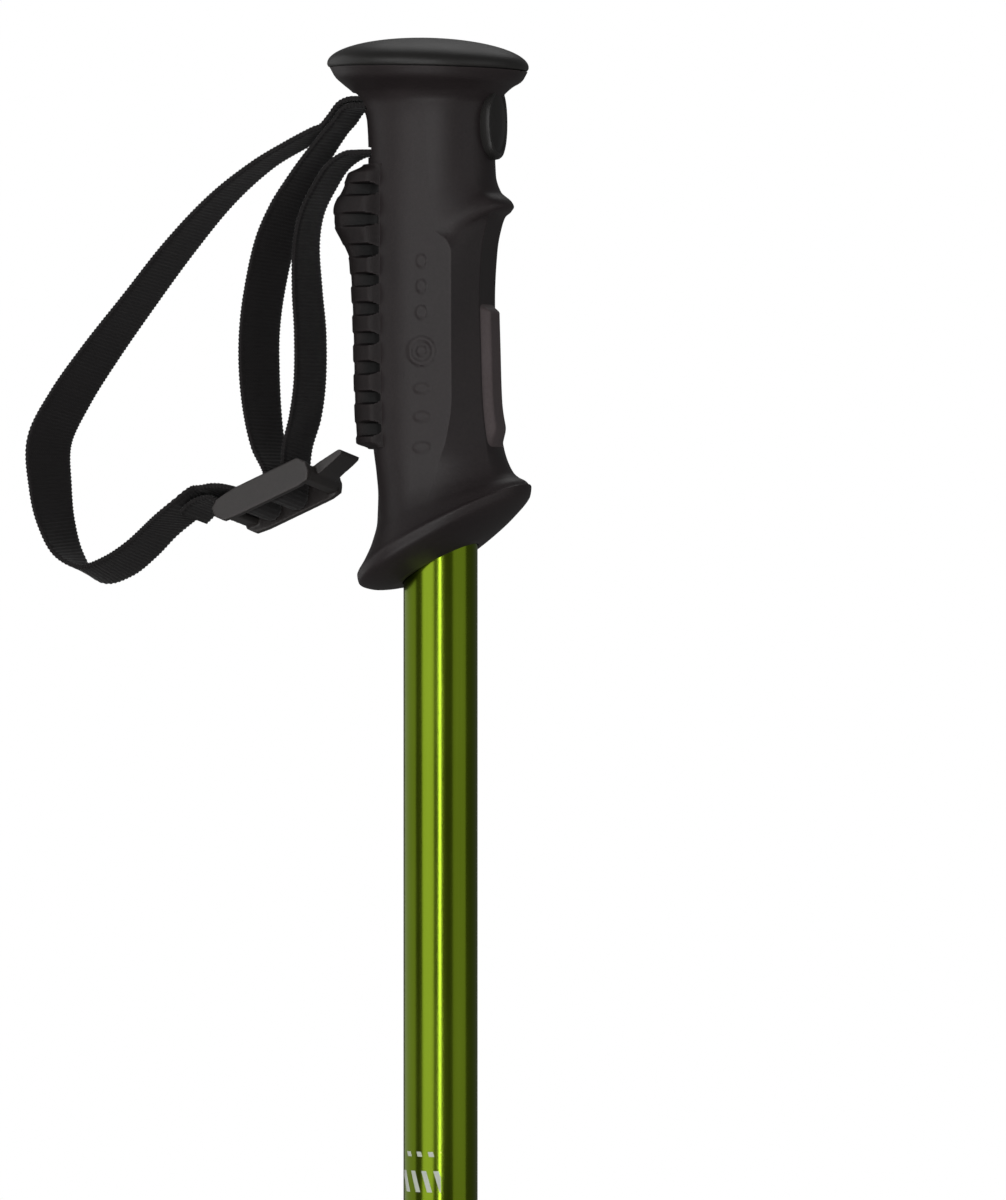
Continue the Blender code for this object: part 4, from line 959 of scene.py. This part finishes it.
# %% Softened mouldings


def softened(name, node, cell, rounds, body, finish):
    """A welded, evenly remeshed and relaxed copy of a CAD node, as a new piece."""
    bm = bmesh.new()
    bm.from_mesh(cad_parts[node].data)
    bmesh.ops.remove_doubles(bm, verts=bm.verts, dist=0.005 * MM)
    bmesh.ops.recalc_face_normals(bm, faces=bm.faces)
    rough = bpy.data.meshes.new(name + "_rough")
    bm.to_mesh(rough)
    bm.free()
    maker = bpy.data.objects.new(name + "_maker", rough)
    bpy.context.scene.collection.objects.link(maker)
    remesh = maker.modifiers.new("even_skin", "REMESH")
    remesh.mode = "VOXEL"
    remesh.voxel_size = cell * MM
    relax = maker.modifiers.new("relax", "SMOOTH")
    relax.factor = 0.5
    relax.iterations = rounds
    bpy.context.view_layer.update()
    depsgraph = bpy.context.evaluated_depsgraph_get()
    made = bpy.data.meshes.new_from_object(maker.evaluated_get(depsgraph))
    bpy.data.objects.remove(maker)
    bm = bmesh.new()
    bm.from_mesh(made)
    bpy.data.meshes.remove(made)
    bmesh.ops.recalc_face_normals(bm, faces=bm.faces)
    return finish_piece(name, bm, body, finish, [node])


softened("ladder_buckle", "buckle_frame", 0.24, 5, "buckle", buckle_acetal)
softened("snow_basket", "basket", 0.5, 4, "pole", tip_nylon)

# %% [markdown]
# ## The shaft and the tip
# The tube is drawn and tapered, so spin makes it as it does the cap. Anodising leaves the drawn
# lines showing through the colour. The tip is a nylon ferrule with a turned steel stud pressed in.

# %% Shaft
SHAFT_RADIUS, SHAFT_END = 9.0, 5.5
SHAFT_LOW, SHAFT_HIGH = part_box("shaft")[0].z / MM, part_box("shaft")[1].z / MM
TAPER_LOW, TAPER_LONG = 112.0, 380.0
SHAFT_STEPS, SHAFT_ROW = 128, 20
profile = [(0, SHAFT_HIGH), (SHAFT_RADIUS - 0.3, SHAFT_HIGH), (SHAFT_RADIUS, SHAFT_HIGH - 0.3)]
for z in np.arange(SHAFT_HIGH - SHAFT_ROW, SHAFT_LOW + 2, -SHAFT_ROW):
    share = min(1.0, max(0.0, (z - TAPER_LOW) / TAPER_LONG))
    profile.append((SHAFT_END + (SHAFT_RADIUS - SHAFT_END) * share, z))
profile += [(SHAFT_END, SHAFT_LOW), (0, SHAFT_LOW)]
finish_piece("tube", spun(profile, SHAFT_STEPS), "pole", anodised, ["shaft"])

# %% Tip
FERRULE_LOW, FERRULE_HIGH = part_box("tip_ferrule")[0].z / MM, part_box("tip_ferrule")[1].z / MM
FERRULE_WIDE, FERRULE_FOOT = 7.6, 4.2
HUB_TOP = 67.8
COLLAR = 9.2
FERRULE_STEPS, STUD_STEPS = 96, 72
CONE_TOP = 58.0
CONE_ROWS = (45.0, 38.0, 37.4, 36.6, 36.0, 29.0, 28.4, 27.6, 27.0, 20.0, 15.0)
GROOVE_ROWS = (37.4, 36.6, 28.4, 27.6)
GROOVE_DEPTH = 0.35
profile = [
    (0, FERRULE_HIGH), (6.0, FERRULE_HIGH), (6.45, FERRULE_HIGH - 0.4),
    (FERRULE_WIDE - 0.2, FERRULE_HIGH - 2.6), (FERRULE_WIDE, FERRULE_HIGH - 3.4),
    (FERRULE_WIDE, HUB_TOP + 6.3), (FERRULE_WIDE + 0.2, HUB_TOP + 5.7), (COLLAR - 0.3, HUB_TOP + 4.2),
    (COLLAR, HUB_TOP + 3.7), (COLLAR, HUB_TOP + 0.4), (COLLAR - 0.3, HUB_TOP + 0.1),
    (FERRULE_WIDE, HUB_TOP), (FERRULE_WIDE, 54.0), (FERRULE_WIDE - 0.25, 52.8),
]
for z in CONE_ROWS:
    groove = GROOVE_DEPTH if z in GROOVE_ROWS else 0.0
    share = (z - FERRULE_LOW) / (CONE_TOP - FERRULE_LOW)
    profile.append((FERRULE_FOOT + (FERRULE_WIDE - FERRULE_FOOT) * share - groove, z))
profile += [(FERRULE_FOOT - 0.1, FERRULE_LOW + 0.2), (FERRULE_FOOT - 0.4, FERRULE_LOW), (0, FERRULE_LOW)]
finish_piece("ferrule", spun(profile, FERRULE_STEPS), "pole", tip_nylon, ["tip_ferrule"])

STUD_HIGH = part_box("tip_stud")[1].z / MM
profile = [
    (0, STUD_HIGH), (3.0, STUD_HIGH), (3.0, 13.7), (3.7, 13.7), (3.9, 13.5), (3.9, 11.9), (3.7, 11.5),
    (3.1, 9.9), (3.0, 9.6), (3.0, 2.2), (2.9, 1.8), (2.3, 0.15), (2.0, 0.02), (1.6, 0.02), (1.3, 0.35),
    (0, 0.45),
]
finish_piece("steel_stud", spun(profile, STUD_STEPS), "pole", turned_steel, ["tip_stud"])

# %% The strap's pin
pin_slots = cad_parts["strap_pin"].material_slots
for place in pin_slots:
    place.material = turned_steel
print("pin slots", len(pin_slots))
